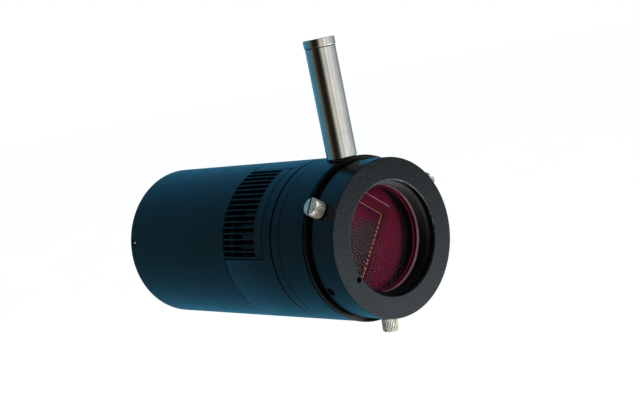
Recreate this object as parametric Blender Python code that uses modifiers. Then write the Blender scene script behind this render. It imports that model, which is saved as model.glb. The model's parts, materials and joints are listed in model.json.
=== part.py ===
"""Cooled astronomy camera with a drying tube and a rotating adapter collar.

Frame: origin at the centre of the collar's front face, +Y backwards along the optical axis,
+Z up along the drying tube. Lengths are metres.
"""
import bpy
import bmesh
from math import cos, pi, radians, sin
from mathutils import Matrix, Vector

MM = 0.001
GAP = 0.3 * MM                      # clearance between neighbouring pieces
MERGE = 0.00001                     # merge distance of every turned profile
FINE, MEDIUM, SMALL, TINY = 48, 24, 16, 10      # segments round a turned piece

# Stations along the optical axis, counted from the collar's front face
COLLAR_LENGTH = 12.0 * MM
RIM_Y = 14.0 * MM                   # front face of the chamber housing
HOUSING_END_Y = 30.1 * MM           # fine seam between housing and chamber back
GROOVE_Y = 35.2 * MM                # middle of the wide groove in front of the vented shell
SHELL_SEAM_Y = 66.2 * MM            # seam between vented shell and rear shell
LENGTH = 136.4 * MM

# Radii
BODY_R = 32.5 * MM
SHELL_INNER_R = 30.7 * MM
COLLAR_R = 31.0 * MM
APERTURE_R = 22.0 * MM              # counterbore in front of the telescope thread
THREAD_R = 21.2 * MM                # telescope thread, 42 mm, modelled as a plain bore
WINDOW_R = 20.9 * MM
CHAMBER_R = 22.2 * MM
CHAMBER_POCKET_R = 27.5 * MM        # wider part of the chamber, round the sensor's board
WINDOW_SEAT_R = 24.5 * MM           # seat of the window's cell in the housing
BACK_OPENING_R = 22.0 * MM               # opening of the chamber's back, for the cold finger

# Angles round the optical axis, from +X towards +Z
LOCK_SCREW_ANGLE = 26.3             # first of three lock screws, 120 degrees apart
GRUB_SCREW_ANGLE = LOCK_SCREW_ANGLE + 60
GRILLE_ANGLE = 142.6                # middle of the first grille, the second is opposite
COVER_SCREW_ANGLE = 167.8
LOCK_SCREW_Y = 8.8 * MM
GRUB_SCREW_Y = 9.9 * MM
COVER_SCREW_Y = 133.3 * MM

# Dovetail between collar and camera
POCKET_R = 27.4 * MM
POCKET_Y = 6.9 * MM
DOVETAIL_R = 27.0 * MM
DOVETAIL_GROOVE_Y = 9.1 * MM
DOVETAIL_GROOVE_DEPTH = 1.4 * MM
DOVETAIL_GROOVE_HALF = 1.2 * MM
NECK_R = 30.0 * MM
BACK_NECK_R = 31.3 * MM             # floor of the wide groove in front of the vented shell

# Screws of the collar and the spanner's pin hole, measured outwards from the optical axis
GRUB_HOLE_R, GRUB_R, GRUB_HEX_R = 1.8 * MM, 1.5 * MM, 0.8 * MM
PIN_HOLE_R, PIN_HOLE_DEPTH, PIN_HOLE_REACH = 1.1 * MM, 2.5 * MM, 23.9 * MM
LOCK_HEAD_R = 3.5 * MM
LOCK_HEAD_BASE = COLLAR_R + GAP
LOCK_HEAD_TOP = 36.7 * MM
LOCK_STUD_R = 1.5 * MM
LOCK_SLOT_TURNS = (152.0, 93.0, 84.0)   # turn of each screwdriver slot from the optical axis

# Grille
GRILLE_Y = 41.0 * MM
GRILLE_HALF_ANGLE = 37.0
GRILLE_INNER_R = 30.9 * MM
SLOT_COUNT = 17
SLOT_PITCH = 4.25                   # degrees
SLOT_WIDTH = 1.8 * MM
SLOT_START_Y = 45.8 * MM

# Drying tube, measured up from the optical axis
TUBE_Y = 20.3 * MM
TUBE_R = 6.0 * MM
TUBE_BORE_R = 5.0 * MM
TUBE_STEM_R = 4.0 * MM
TUBE_SHOULDER_Z = 32.7 * MM
TUBE_FLAT_HALF = 5.6 * MM           # half the width across the two spanner flats
TUBE_FLAT_LOW_Z, TUBE_FLAT_HIGH_Z = 33.2 * MM, 36.2 * MM
TUBE_TOP_Z = 76.2 * MM
SPOT_FACE_Z = 31.9 * MM
SPOT_FACE_R = 6.9 * MM
CAP_R = 6.25 * MM
CAP_TOP_Z = 79.6 * MM

# Image sensor, APS-C, whose die is a little larger than its image area
DIE_LONG, DIE_SHORT = 27.4 * MM, 16.0 * MM
PACKAGE_LONG, PACKAGE_SHORT = 36.0 * MM, 23.0 * MM
RECESS_LONG, RECESS_SHORT = 28.0 * MM, 18.0 * MM
PACKAGE_Y = 19.7 * MM
PACKAGE_DEPTH = 1.8 * MM

# Cooling
PELTIER_SIDE = 30.0 * MM
SINK_Y, SINK_BASE, SINK_END_Y = 35.8 * MM, 3.8 * MM, 56.3 * MM
SINK_R = 30.2 * MM
FIN_PITCH, FIN_GAP, FIN_GAPS = 4.4 * MM, 2.8 * MM, 13
FAN_Y, FAN_DEPTH, FAN_SIDE = 57.0 * MM, 10.0 * MM, 40.0 * MM
FAN_DUCT_R, FAN_TIP_R, FAN_HUB_R = 19.2 * MM, 18.4 * MM, 9.5 * MM
FAN_BLADES = 7

# Cover screws and the counterbored holes they sit in
COVER_SHANK_R, COVER_HOLE_R = 0.8 * MM, 1.05 * MM
COVER_HEAD_R, COVER_SINK_R = 1.25 * MM, 1.5 * MM
COVER_SEAT, COVER_HEAD_TOP = 31.3 * MM, 32.2 * MM       # measured outwards from the optical axis

# Electronics and rear end
BOARD_R, BOARD_THICK = 27.5 * MM, 1.6 * MM
MAIN_BOARD_Y, POWER_BOARD_Y, SOCKET_BOARD_Y = 78.0 * MM, 98.0 * MM, 121.0 * MM
SPACER_R, SPACER_CIRCLE_R = 2.2 * MM, 23.0 * MM
COVER_R, COVER_FRONT_Y, COVER_REAR_Y = 30.4 * MM, 127.5 * MM, 136.1 * MM
COVER_THICK = 2.5 * MM
USB_WIDTH, USB_HEIGHT, USB_X = 12.0 * MM, 11.0 * MM, -9.0 * MM
JACK_R, JACK_X = 5.0 * MM, 10.0 * MM
LED_R, LED_Z = 1.5 * MM, 12.0 * MM


def clear_scene():
    for obj in list(bpy.data.objects):
        bpy.data.objects.remove(obj, do_unlink=True)


def new_collection(name):
    collection = bpy.data.collections.new(name)
    bpy.context.scene.collection.children.link(collection)
    return collection


def material(name, colour, metallic, roughness):
    result = bpy.data.materials.new(name)
    result.use_nodes = True
    shader = result.node_tree.nodes["Principled BSDF"]
    shader.inputs["Base Color"].default_value = (*colour, 1.0)
    shader.inputs["Metallic"].default_value = metallic
    shader.inputs["Roughness"].default_value = roughness
    return result


clear_scene()
PARTS = new_collection("cooled_astronomy_camera")
CUTTERS = new_collection("cutters")

ANODISED = material("anodised_black", (0.012, 0.016, 0.02), 0.6, 0.3)
MATTE_ANODISED = material("anodised_matte", (0.03, 0.03, 0.032), 0.3, 0.55)
NICKEL = material("nickel_plate", (0.72, 0.69, 0.62), 1.0, 0.3)
BLACK_STEEL = material("black_steel", (0.03, 0.03, 0.03), 0.9, 0.4)
STAINLESS = material("stainless_steel", (0.62, 0.60, 0.57), 1.0, 0.22)
GLASS = material("coated_glass", (0.75, 0.12, 0.30), 0.0, 0.03)
RUBBER = material("rubber", (0.01, 0.01, 0.01), 0.0, 0.7)
CERAMIC = material("package_ceramic", (0.20, 0.12, 0.10), 0.0, 0.5)
SILICON = material("silicon", (0.25, 0.22, 0.30), 0.4, 0.15)
BOARD_GREEN = material("circuit_board", (0.02, 0.12, 0.05), 0.0, 0.45)
ALUMINIUM = material("bare_aluminium", (0.75, 0.75, 0.76), 1.0, 0.35)
COPPER = material("copper", (0.80, 0.42, 0.28), 1.0, 0.3)
WHITE_CERAMIC = material("cooler_ceramic", (0.85, 0.85, 0.82), 0.0, 0.5)
BLACK_PLASTIC = material("black_plastic", (0.02, 0.02, 0.02), 0.0, 0.5)
BEADS = material("desiccant_beads", (0.85, 0.45, 0.10), 0.0, 0.4)
LENS_GREEN = material("led_lens", (0.05, 0.5, 0.1), 0.0, 0.2)


# Placing -------------------------------------------------------------------------------------

def optical(angle=0.0):
    """Local Z along the optical axis, local X at the given angle round it."""
    return Matrix.Rotation(radians(-angle), 4, 'Y') @ Matrix.Rotation(radians(-90), 4, 'X')


def radial(angle, y):
    """Local Z outwards at the given angle, local X backwards, origin on the optical axis."""
    outward = Vector((cos(radians(angle)), 0, sin(radians(angle))))
    backward = Vector((0, 1, 0))
    across = outward.cross(backward)
    turn = Matrix((backward, across, outward)).transposed().to_4x4()
    return Matrix.Translation((0, y, 0)) @ turn


def upright(y):
    """Local Z up along the drying tube."""
    return Matrix.Translation((0, y, 0))


# Modelling -----------------------------------------------------------------------------------

def add_object(name, mesh, place, finish, collection=None):
    obj = bpy.data.objects.new(name, mesh)
    (collection or PARTS).objects.link(obj)
    obj.matrix_world = place
    if finish:
        mesh.materials.append(finish)
    if collection is CUTTERS:
        obj.hide_render = True
        obj.display_type = 'WIRE'
    return obj


def turned(name, profile, place, finish, segments=FINE, collection=None):
    """Turn a profile of (radius, height) about local Z.

    The profile goes up its outer side and down its inner side. It is closed into a ring unless
    it starts and ends on the axis.
    """
    points = [(radius, 0.0, height) for radius, height in reversed(profile)]
    edges = [(i, i + 1) for i in range(len(points) - 1)]
    if profile[0][0] > 0:
        edges.append((len(points) - 1, 0))
    mesh = bpy.data.meshes.new(name)
    mesh.from_pydata(points, edges, [])
    obj = add_object(name, mesh, place, finish, collection)
    screw = obj.modifiers.new("turn", 'SCREW')
    screw.axis = 'Z'
    screw.angle = 2 * pi
    screw.steps = segments
    screw.render_steps = segments
    screw.use_merge_vertices = True
    screw.merge_threshold = MERGE
    screw.use_smooth_shade = False
    return obj


def rod(radius, low, high):
    """Profile of a plain cylinder."""
    return [(0, low), (radius, low), (radius, high), (0, high)]


def ring(inner, outer, low, high):
    """Profile of a plain ring."""
    return [(outer, low), (outer, high), (inner, high), (inner, low)]


def o_ring(radius, thickness, height, sides=6):
    """Profile of an O-ring with the given centre-line radius and half thickness."""
    steps = [2 * pi * i / sides for i in range(sides)]
    return [(radius + thickness * cos(t), height + thickness * sin(t)) for t in steps]


def block(name, boxes, place, finish, collection=None):
    """One mesh of boxes, each (centre, size) in the local frame."""
    mesh = bpy.data.meshes.new(name)
    bm = bmesh.new()
    for centre, size in boxes:
        fit = Matrix.Translation(centre) @ Matrix.Diagonal((*size, 1.0))
        bmesh.ops.create_cube(bm, size=1.0, matrix=fit)
    bm.to_mesh(mesh)
    bm.free()
    return add_object(name, mesh, place, finish, collection)


def plate(name, outline, low, high, place, finish, collection=None):
    """A flat outline in the local XY plane, extruded from low to high along local Z."""
    curve = bpy.data.curves.new(name, 'CURVE')
    curve.dimensions = '2D'
    curve.fill_mode = 'BOTH'
    curve.extrude = (high - low) / 2
    spline = curve.splines.new('POLY')
    spline.points.add(len(outline) - 1)
    for point, (x, y) in zip(spline.points, outline):
        point.co = (x, y, 0, 1)
    spline.use_cyclic_u = True
    flat = bpy.data.objects.new(name + "_outline", curve)
    PARTS.objects.link(flat)
    mesh = bpy.data.meshes.new_from_object(flat.evaluated_get(bpy.context.evaluated_depsgraph_get()))
    bpy.data.objects.remove(flat, do_unlink=True)
    bm = bmesh.new()
    bm.from_mesh(mesh)
    bmesh.ops.remove_doubles(bm, verts=bm.verts, dist=MERGE)
    bm.to_mesh(mesh)
    bm.free()
    mesh.name = name
    return add_object(name, mesh, place @ Matrix.Translation((0, 0, (low + high) / 2)), finish, collection)


def sector(inner, outer, half_angle, steps=12):
    """Outline of a ring sector, centred on local X."""
    angles = [radians(half_angle * (2 * i / steps - 1)) for i in range(steps + 1)]
    far = [(outer * cos(a), outer * sin(a)) for a in angles]
    near = [(inner * cos(a), inner * sin(a)) for a in reversed(angles)]
    return far + near


def rounded_square(side, corner, steps=4):
    reach = side / 2 - corner
    outline = []
    for quarter in range(4):
        start = quarter * pi / 2
        centre_x = reach * (1 if quarter in (0, 3) else -1)
        centre_y = reach * (1 if quarter in (0, 1) else -1)
        for step in range(steps + 1):
            angle = start + step * pi / 2 / steps
            outline.append((centre_x + corner * cos(angle), centre_y + corner * sin(angle)))
    return outline


def combine(obj, other, operation):
    modifier = obj.modifiers.new(other.name, 'BOOLEAN')
    modifier.operation = operation
    modifier.solver = 'EXACT'
    modifier.object = other


def cut(obj, cutter):
    combine(obj, cutter, 'DIFFERENCE')


def join(obj, other):
    combine(obj, other, 'UNION')


def cut_rod(obj, name, radius, low, high, place, segments=SMALL):
    cut(obj, turned(name, rod(radius, low, high), place, None, segments, CUTTERS))


def thirds(first):
    return [(number + 1, first + 120.0 * number) for number in range(3)]


# Collar and lock screws ----------------------------------------------------------------------

def adapter_ring():
    """The collar that threads onto the telescope and takes the camera's dovetail."""
    step_y = 3.0 * MM
    profile = [
        (COLLAR_R - 0.5 * MM, 0), (COLLAR_R, 0.5 * MM), (COLLAR_R, COLLAR_LENGTH - GAP),
        (COLLAR_R - GAP, COLLAR_LENGTH), (POCKET_R, COLLAR_LENGTH), (POCKET_R, POCKET_Y),
        (THREAD_R, POCKET_Y), (THREAD_R, step_y), (APERTURE_R, step_y - 0.4 * MM),
        (APERTURE_R, 0.4 * MM), (APERTURE_R + 0.4 * MM, 0)]
    collar = turned("adapter_ring", profile, optical(), MATTE_ANODISED)
    for number, angle in thirds(LOCK_SCREW_ANGLE):
        hole_r = LOCK_STUD_R + GAP
        place = radial(angle, LOCK_SCREW_Y)
        cut_rod(collar, f"lock_screw_hole_{number}", hole_r, POCKET_R - MM, COLLAR_R + MM, place, TINY)
    for number, angle in thirds(GRUB_SCREW_ANGLE):
        place = radial(angle, GRUB_SCREW_Y)
        cut_rod(collar, f"grub_screw_hole_{number}", GRUB_HOLE_R, POCKET_R - MM, COLLAR_R + MM, place, TINY)
    pin_angle = radians(GRUB_SCREW_ANGLE + 120.0)
    pin_centre = (PIN_HOLE_REACH * cos(pin_angle), 0, PIN_HOLE_REACH * sin(pin_angle))
    pin_place = Matrix.Translation(pin_centre) @ optical()
    cut_rod(collar, "spanner_hole", PIN_HOLE_R, -MM, PIN_HOLE_DEPTH, pin_place, TINY)


def lock_screws():
    """Three knurled screws whose tips press into the dovetail's groove."""
    tip = 26.7 * MM
    stud_end = LOCK_HEAD_BASE + 2.6 * MM
    stud = [(0, tip), (0.4 * MM, tip), (LOCK_STUD_R, tip + 1.1 * MM), (LOCK_STUD_R, stud_end), (0, stud_end)]
    socket_r = LOCK_STUD_R + GAP
    head = [
        (0, stud_end + GAP), (socket_r, stud_end + GAP), (socket_r, LOCK_HEAD_BASE),
        (LOCK_HEAD_R - GAP, LOCK_HEAD_BASE), (LOCK_HEAD_R, LOCK_HEAD_BASE + GAP),
        (LOCK_HEAD_R, LOCK_HEAD_TOP - 0.5 * MM), (LOCK_HEAD_R - 0.5 * MM, LOCK_HEAD_TOP),
        (0, LOCK_HEAD_TOP)]
    for number, angle in thirds(LOCK_SCREW_ANGLE):
        place = radial(angle, LOCK_SCREW_Y)
        turned(f"lock_screw_stud_{number}", stud, place, NICKEL, TINY)
        knob = turned(f"lock_screw_head_{number}", head, place, NICKEL, SMALL)
        slot_place = place @ Matrix.Rotation(radians(LOCK_SLOT_TURNS[number - 1]), 4, 'Z')
        slot = block(f"lock_screw_slot_{number}", [((0, 0, LOCK_HEAD_TOP), (10 * MM, 0.9 * MM, 2 * MM))],
                     slot_place, None, CUTTERS)
        cut(knob, slot)


def grub_screws():
    low, high = 27.9 * MM, 29.6 * MM
    profile = [(0, low), (GRUB_R, low), (GRUB_R, high), (GRUB_HEX_R, high), (GRUB_HEX_R, high - MM),
               (0, high - MM)]
    for number, angle in thirds(GRUB_SCREW_ANGLE):
        turned(f"grub_screw_{number}", profile, radial(angle, GRUB_SCREW_Y), BLACK_STEEL, TINY)


# Sensor chamber ------------------------------------------------------------------------------

def chamber_housing():
    """Dovetail flange, neck and the sealed chamber's wall, with the drying tube's port."""
    groove_low = DOVETAIL_GROOVE_Y - DOVETAIL_GROOVE_HALF
    groove_high = DOVETAIL_GROOVE_Y + DOVETAIL_GROOVE_HALF
    flange_y = POCKET_Y + 0.4 * MM
    neck_y = COLLAR_LENGTH + GAP
    rear_y = HOUSING_END_Y - 0.1 * MM
    seat_y = 12.2 * MM
    pocket_y = 17.8 * MM
    profile = [
        (DOVETAIL_R, flange_y), (DOVETAIL_R, groove_low),
        (DOVETAIL_R - DOVETAIL_GROOVE_DEPTH, DOVETAIL_GROOVE_Y), (DOVETAIL_R, groove_high),
        (DOVETAIL_R, neck_y), (NECK_R, neck_y), (NECK_R, RIM_Y), (BODY_R - 0.1 * MM, RIM_Y),
        (BODY_R + 0.2 * MM, RIM_Y + 0.3 * MM), (BODY_R + 0.2 * MM, RIM_Y + 1.2 * MM),
        (BODY_R, RIM_Y + 1.4 * MM), (BODY_R, rear_y - 0.2 * MM), (BODY_R - 0.2 * MM, rear_y),
        (CHAMBER_POCKET_R, rear_y), (CHAMBER_POCKET_R, pocket_y), (CHAMBER_R, pocket_y),
        (CHAMBER_R, seat_y), (WINDOW_SEAT_R, seat_y), (WINDOW_SEAT_R, flange_y)]
    housing = turned("chamber_housing", profile, optical(), ANODISED)
    port = upright(TUBE_Y)
    cut_rod(housing, "port_spot_face", SPOT_FACE_R, SPOT_FACE_Z, 40 * MM, port, MEDIUM)
    cut_rod(housing, "port_hole", TUBE_STEM_R + GAP, 20 * MM, 40 * MM, port)


def window():
    """The chamber's window, its cell and the O-ring behind the glass."""
    front, rear = 7.6 * MM, 9.6 * MM
    lip_y, cell_end = 10.9 * MM, 11.9 * MM
    cell_r, lip_r, recess_r = WINDOW_SEAT_R - GAP, 20.2 * MM, WINDOW_R + 0.35 * MM
    cell = [
        (cell_r - GAP, front - GAP), (cell_r, front), (cell_r, cell_end), (lip_r, cell_end),
        (lip_r, lip_y), (recess_r, lip_y), (recess_r, front), (recess_r + GAP, front - GAP)]
    turned("window_cell", cell, optical(), MATTE_ANODISED)
    turned("window_glass", rod(WINDOW_R, front, rear), optical(), GLASS)
    turned("window_seal", o_ring(20.6 * MM, 0.35 * MM, (rear + lip_y) / 2), optical(), RUBBER, MEDIUM)


def sensor():
    """Image sensor in its ceramic package, on its own board."""
    place = optical(GRILLE_ANGLE)
    recess_y = PACKAGE_Y + 1.2 * MM
    package = block("sensor_package", [((0, 0, PACKAGE_Y + PACKAGE_DEPTH / 2),
                                        (PACKAGE_SHORT, PACKAGE_LONG, PACKAGE_DEPTH))], place, CERAMIC)
    cut(package, block("sensor_recess", [((0, 0, PACKAGE_Y), (RECESS_SHORT, RECESS_LONG, 2.4 * MM))],
                       place, None, CUTTERS))
    block("sensor_die", [((0, 0, recess_y - 0.45 * MM), (DIE_SHORT, DIE_LONG, 0.3 * MM))], place, SILICON)
    board_y = PACKAGE_Y + PACKAGE_DEPTH + GAP
    turned("sensor_board", rod(26.8 * MM, board_y, board_y + BOARD_THICK), place, BOARD_GREEN, MEDIUM)


def chamber_back():
    """The ring that closes the chamber, with its O-ring groove and the step of the wide groove."""
    front, rear = HOUSING_END_Y + 0.2 * MM, GROOVE_Y - 0.5 * MM
    neck_end = GROOVE_Y + 0.2 * MM
    seal_r, seal_floor = 29.5 * MM, front + 1.6 * MM
    profile = [
        (BODY_R - 0.2 * MM, front), (BODY_R, front + 0.2 * MM), (BODY_R, rear - 0.3 * MM),
        (BODY_R - 0.3 * MM, rear), (BACK_NECK_R, rear), (BACK_NECK_R, neck_end),
        (BACK_OPENING_R, neck_end), (BACK_OPENING_R, front), (seal_r - MM, front),
        (seal_r - MM, seal_floor), (seal_r + MM, seal_floor), (seal_r + MM, front)]
    turned("chamber_back", profile, optical(), ANODISED)
    turned("chamber_seal", o_ring(seal_r, 0.6 * MM, front + 0.65 * MM), optical(), RUBBER, MEDIUM)


def cooler():
    """Cold finger, thermoelectric cooler and finned heat sink."""
    finger_y, flange_y, flange_end = 23.7 * MM, 29.9 * MM, 31.8 * MM
    finger_r, flange_r = 10.0 * MM, 19.0 * MM
    finger = [(0, finger_y), (finger_r, finger_y), (finger_r, flange_y), (flange_r, flange_y),
              (flange_r, flange_end), (0, flange_end)]
    place = optical(GRILLE_ANGLE)
    turned("cold_finger", finger, place, COPPER, MEDIUM)
    low, high = flange_end + GAP, SINK_Y - GAP
    block("peltier_cooler", [((0, 0, (low + high) / 2), (PELTIER_SIDE, PELTIER_SIDE, high - low))],
          place, WHITE_CERAMIC)
    sink = turned("heat_sink", rod(SINK_R, SINK_Y, SINK_END_Y), place, ANODISED, MEDIUM)
    fin_y, end_y = SINK_Y + SINK_BASE, SINK_END_Y + MM
    gaps = []
    for index in range(FIN_GAPS):
        across = (index - (FIN_GAPS - 1) / 2) * FIN_PITCH
        gaps.append(((0, across, (fin_y + end_y) / 2), (70 * MM, FIN_GAP, end_y - fin_y)))
    cut(sink, block("fin_gaps", gaps, place, None, CUTTERS))


def fan():
    """Axial fan: square frame with a four-armed motor mount, and the rotor."""
    place = optical(GRILLE_ANGLE)
    end_y = FAN_Y + FAN_DEPTH
    arm_y = end_y - 1.6 * MM
    frame = plate("fan_frame", rounded_square(FAN_SIDE, 3 * MM), FAN_Y, end_y, place, BLACK_PLASTIC)
    cut_rod(frame, "fan_duct", FAN_DUCT_R, FAN_Y - MM, end_y + MM, place, MEDIUM)
    arms = [((0, 0, (arm_y + end_y) / 2), (FAN_SIDE - 0.6 * MM, 1.8 * MM, end_y - arm_y - 0.2 * MM))]
    join(frame, block("fan_arm_one", arms, place @ Matrix.Rotation(pi / 4, 4, 'Z'), None, CUTTERS))
    join(frame, block("fan_arm_two", arms, place @ Matrix.Rotation(-pi / 4, 4, 'Z'), None, CUTTERS))
    motor = turned("fan_motor_mount", rod(8.5 * MM, arm_y - 0.2 * MM, end_y - 0.05 * MM), place, None,
                   SMALL, CUTTERS)
    join(frame, motor)

    rotor = turned("fan_rotor", rod(FAN_HUB_R, FAN_Y + 0.6 * MM, arm_y - 0.8 * MM), place, BLACK_PLASTIC,
                   MEDIUM)
    blade_size = (FAN_TIP_R - FAN_HUB_R + 2 * MM, 8.5 * MM, 1.0 * MM)
    blade_centre = ((FAN_TIP_R + FAN_HUB_R) / 2 - MM, 0, 0)
    for number in range(FAN_BLADES):
        turn = Matrix.Rotation(2 * pi * number / FAN_BLADES, 4, 'Z')
        pitch = Matrix.Translation((0, 0, FAN_Y + 4.2 * MM)) @ Matrix.Rotation(radians(38), 4, 'X')
        blade = block(f"fan_blade_{number + 1}", [(blade_centre, blade_size)], place @ turn @ pitch, None,
                      CUTTERS)
        join(rotor, blade)


# Shells --------------------------------------------------------------------------------------

def vent_shell():
    front, rear = GROOVE_Y + 0.5 * MM, SHELL_SEAM_Y - 0.15 * MM
    profile = [(BODY_R - 0.3 * MM, front), (BODY_R, front + 0.3 * MM), (BODY_R, rear - 0.15 * MM),
               (BODY_R - 0.15 * MM, rear), (SHELL_INNER_R, rear), (SHELL_INNER_R, front)]
    shell = turned("vent_shell", profile, optical(), ANODISED)
    half_angle = GRILLE_HALF_ANGLE + GAP / BODY_R * 180 / pi
    opening = sector(29 * MM, 34 * MM, half_angle)
    for name, angle in (("left", GRILLE_ANGLE), ("right", GRILLE_ANGLE + 180)):
        cut(shell, plate(f"grille_opening_{name}", opening, GRILLE_Y - GAP, rear + MM, optical(angle), None,
                         CUTTERS))


def grilles():
    """Two curved panels with lengthwise slots, whose ribs end on a recessed rail."""
    rear = SHELL_SEAM_Y - 0.15 * MM
    for name, angle in (("left", GRILLE_ANGLE), ("right", GRILLE_ANGLE + 180)):
        panel = plate(f"grille_{name}", sector(GRILLE_INNER_R, BODY_R, GRILLE_HALF_ANGLE), GRILLE_Y, rear,
                      optical(angle), ANODISED)
        for index in range(SLOT_COUNT):
            turn = (index - (SLOT_COUNT - 1) / 2) * SLOT_PITCH
            middle = (SLOT_START_Y + rear + MM) / 2
            slot = ((BODY_R, 0, middle), (6 * MM, SLOT_WIDTH, rear + MM - SLOT_START_Y))
            cut(panel, block(f"slot_{name}_{index + 1}", [slot], optical(angle + turn), None, CUTTERS))
        rail = plate(f"rail_{name}", sector(GRILLE_INNER_R + 0.05 * MM, 31.5 * MM, GRILLE_HALF_ANGLE - 0.5),
                     rear - 1.4 * MM, rear - 0.3 * MM, optical(angle), None, CUTTERS)
        join(panel, rail)


def rear_shell():
    front = SHELL_SEAM_Y + 0.15 * MM
    profile = [(BODY_R - 0.15 * MM, front), (BODY_R, front + 0.15 * MM), (BODY_R, LENGTH - 0.6 * MM),
               (BODY_R - 0.6 * MM, LENGTH), (SHELL_INNER_R, LENGTH), (SHELL_INNER_R, front)]
    shell = turned("rear_shell", profile, optical(), ANODISED)
    inside, outside = 29 * MM, 34 * MM
    hole = [(0, inside), (COVER_HOLE_R, inside), (COVER_HOLE_R, COVER_SEAT), (COVER_SINK_R, COVER_SEAT),
            (COVER_SINK_R, outside), (0, outside)]
    for number, angle in thirds(COVER_SCREW_ANGLE):
        place = radial(angle, COVER_SCREW_Y)
        cut(shell, turned(f"shell_screw_hole_{number}", hole, place, None, TINY, CUTTERS))


def joining_ring():
    """Threaded ring inside the seam that holds the two shells together."""
    turned("joining_ring", ring(28.9 * MM, 30.4 * MM, 62.5 * MM, 71.0 * MM), optical(), ANODISED,
           MEDIUM)


# Electronics and rear cover ------------------------------------------------------------------

def boards():
    for name, y in (("main_board", MAIN_BOARD_Y), ("power_board", POWER_BOARD_Y),
                    ("socket_board", SOCKET_BOARD_Y)):
        turned(name, rod(BOARD_R, y, y + BOARD_THICK), optical(), BOARD_GREEN, MEDIUM)
    low, high = MAIN_BOARD_Y + BOARD_THICK + GAP, POWER_BOARD_Y - GAP
    for number in range(4):
        angle = radians(GRILLE_ANGLE + 45 + 90 * number)
        place = Matrix.Translation((SPACER_CIRCLE_R * cos(angle), 0, SPACER_CIRCLE_R * sin(angle)))
        turned(f"board_spacer_{number + 1}", rod(SPACER_R, low, high), place @ optical(), NICKEL, 6)


def rear_cover():
    inner_y = COVER_REAR_Y - COVER_THICK
    rim_r = COVER_R - 2.2 * MM
    profile = [(0, inner_y), (rim_r, inner_y), (rim_r, COVER_FRONT_Y), (COVER_R, COVER_FRONT_Y),
               (COVER_R, COVER_REAR_Y - GAP), (COVER_R - GAP, COVER_REAR_Y), (0, COVER_REAR_Y)]
    cover = turned("rear_cover", profile, optical(), ANODISED)
    usb = ((USB_X, 0, LENGTH), (USB_WIDTH + 2 * GAP, USB_HEIGHT + 2 * GAP, 20 * MM))
    cut(cover, block("usb_cutout", [usb], optical(), None, CUTTERS))
    jack_place = Matrix.Translation((JACK_X, 0, 0)) @ optical()
    cut_rod(cover, "jack_cutout", JACK_R + GAP, 120 * MM, 140 * MM, jack_place)
    led_place = Matrix.Translation((0, 0, LED_Z)) @ optical()
    cut_rod(cover, "led_cutout", LED_R + GAP, 120 * MM, 140 * MM, led_place, TINY)
    for number, angle in thirds(COVER_SCREW_ANGLE):
        cut_rod(cover, f"cover_screw_hole_{number}", COVER_HOLE_R, 25 * MM, 32 * MM,
                radial(angle, COVER_SCREW_Y), TINY)


def cover_screws():
    tip, seat, top = 27.6 * MM, COVER_SEAT + GAP, COVER_HEAD_TOP
    profile = [(0, tip), (COVER_SHANK_R, tip), (COVER_SHANK_R, seat), (COVER_HEAD_R, seat),
               (COVER_HEAD_R, top), (0, top)]
    for number, angle in thirds(COVER_SCREW_ANGLE):
        place = radial(angle, COVER_SCREW_Y)
        screw = turned(f"cover_screw_{number}", profile, place, BLACK_STEEL, TINY)
        slot = ((0, 0, top), (4 * MM, 0.4 * MM, 0.6 * MM))
        cut(screw, block(f"cover_screw_slot_{number}", [slot], place, None, CUTTERS))


def sockets():
    """USB and power sockets on the socket board, and the status lamp."""
    front = SOCKET_BOARD_Y + BOARD_THICK + GAP
    depth = LENGTH - front
    usb = block("usb_socket", [((USB_X, 0, (front + LENGTH) / 2), (USB_WIDTH, USB_HEIGHT, depth))],
                optical(), ALUMINIUM)
    mouth_y = LENGTH - 9 * MM
    mouth = ((USB_X, 0, (mouth_y + LENGTH + MM) / 2), (8.6 * MM, 7.8 * MM, LENGTH + MM - mouth_y))
    cut(usb, block("usb_mouth", [mouth], optical(), None, CUTTERS))
    tongue = ((USB_X, 0, (mouth_y - MM + LENGTH - MM) / 2), (5.6 * MM, 3.2 * MM, LENGTH - mouth_y))
    join(usb, block("usb_tongue", [tongue], optical(), None, CUTTERS))

    jack_place = Matrix.Translation((JACK_X, 0, 0)) @ optical()
    pin_end = LENGTH - 1.5 * MM
    jack = [(0, front), (JACK_R, front), (JACK_R, LENGTH), (2.9 * MM, LENGTH), (2.9 * MM, mouth_y),
            (1.05 * MM, mouth_y), (1.05 * MM, pin_end), (0, pin_end)]
    turned("power_socket", jack, jack_place, BLACK_PLASTIC, SMALL)
    led_place = Matrix.Translation((0, 0, LED_Z)) @ optical()
    turned("status_lamp", rod(LED_R, front, LENGTH - 0.2 * MM), led_place, LENS_GREEN, TINY)


# Drying tube ---------------------------------------------------------------------------------

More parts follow.
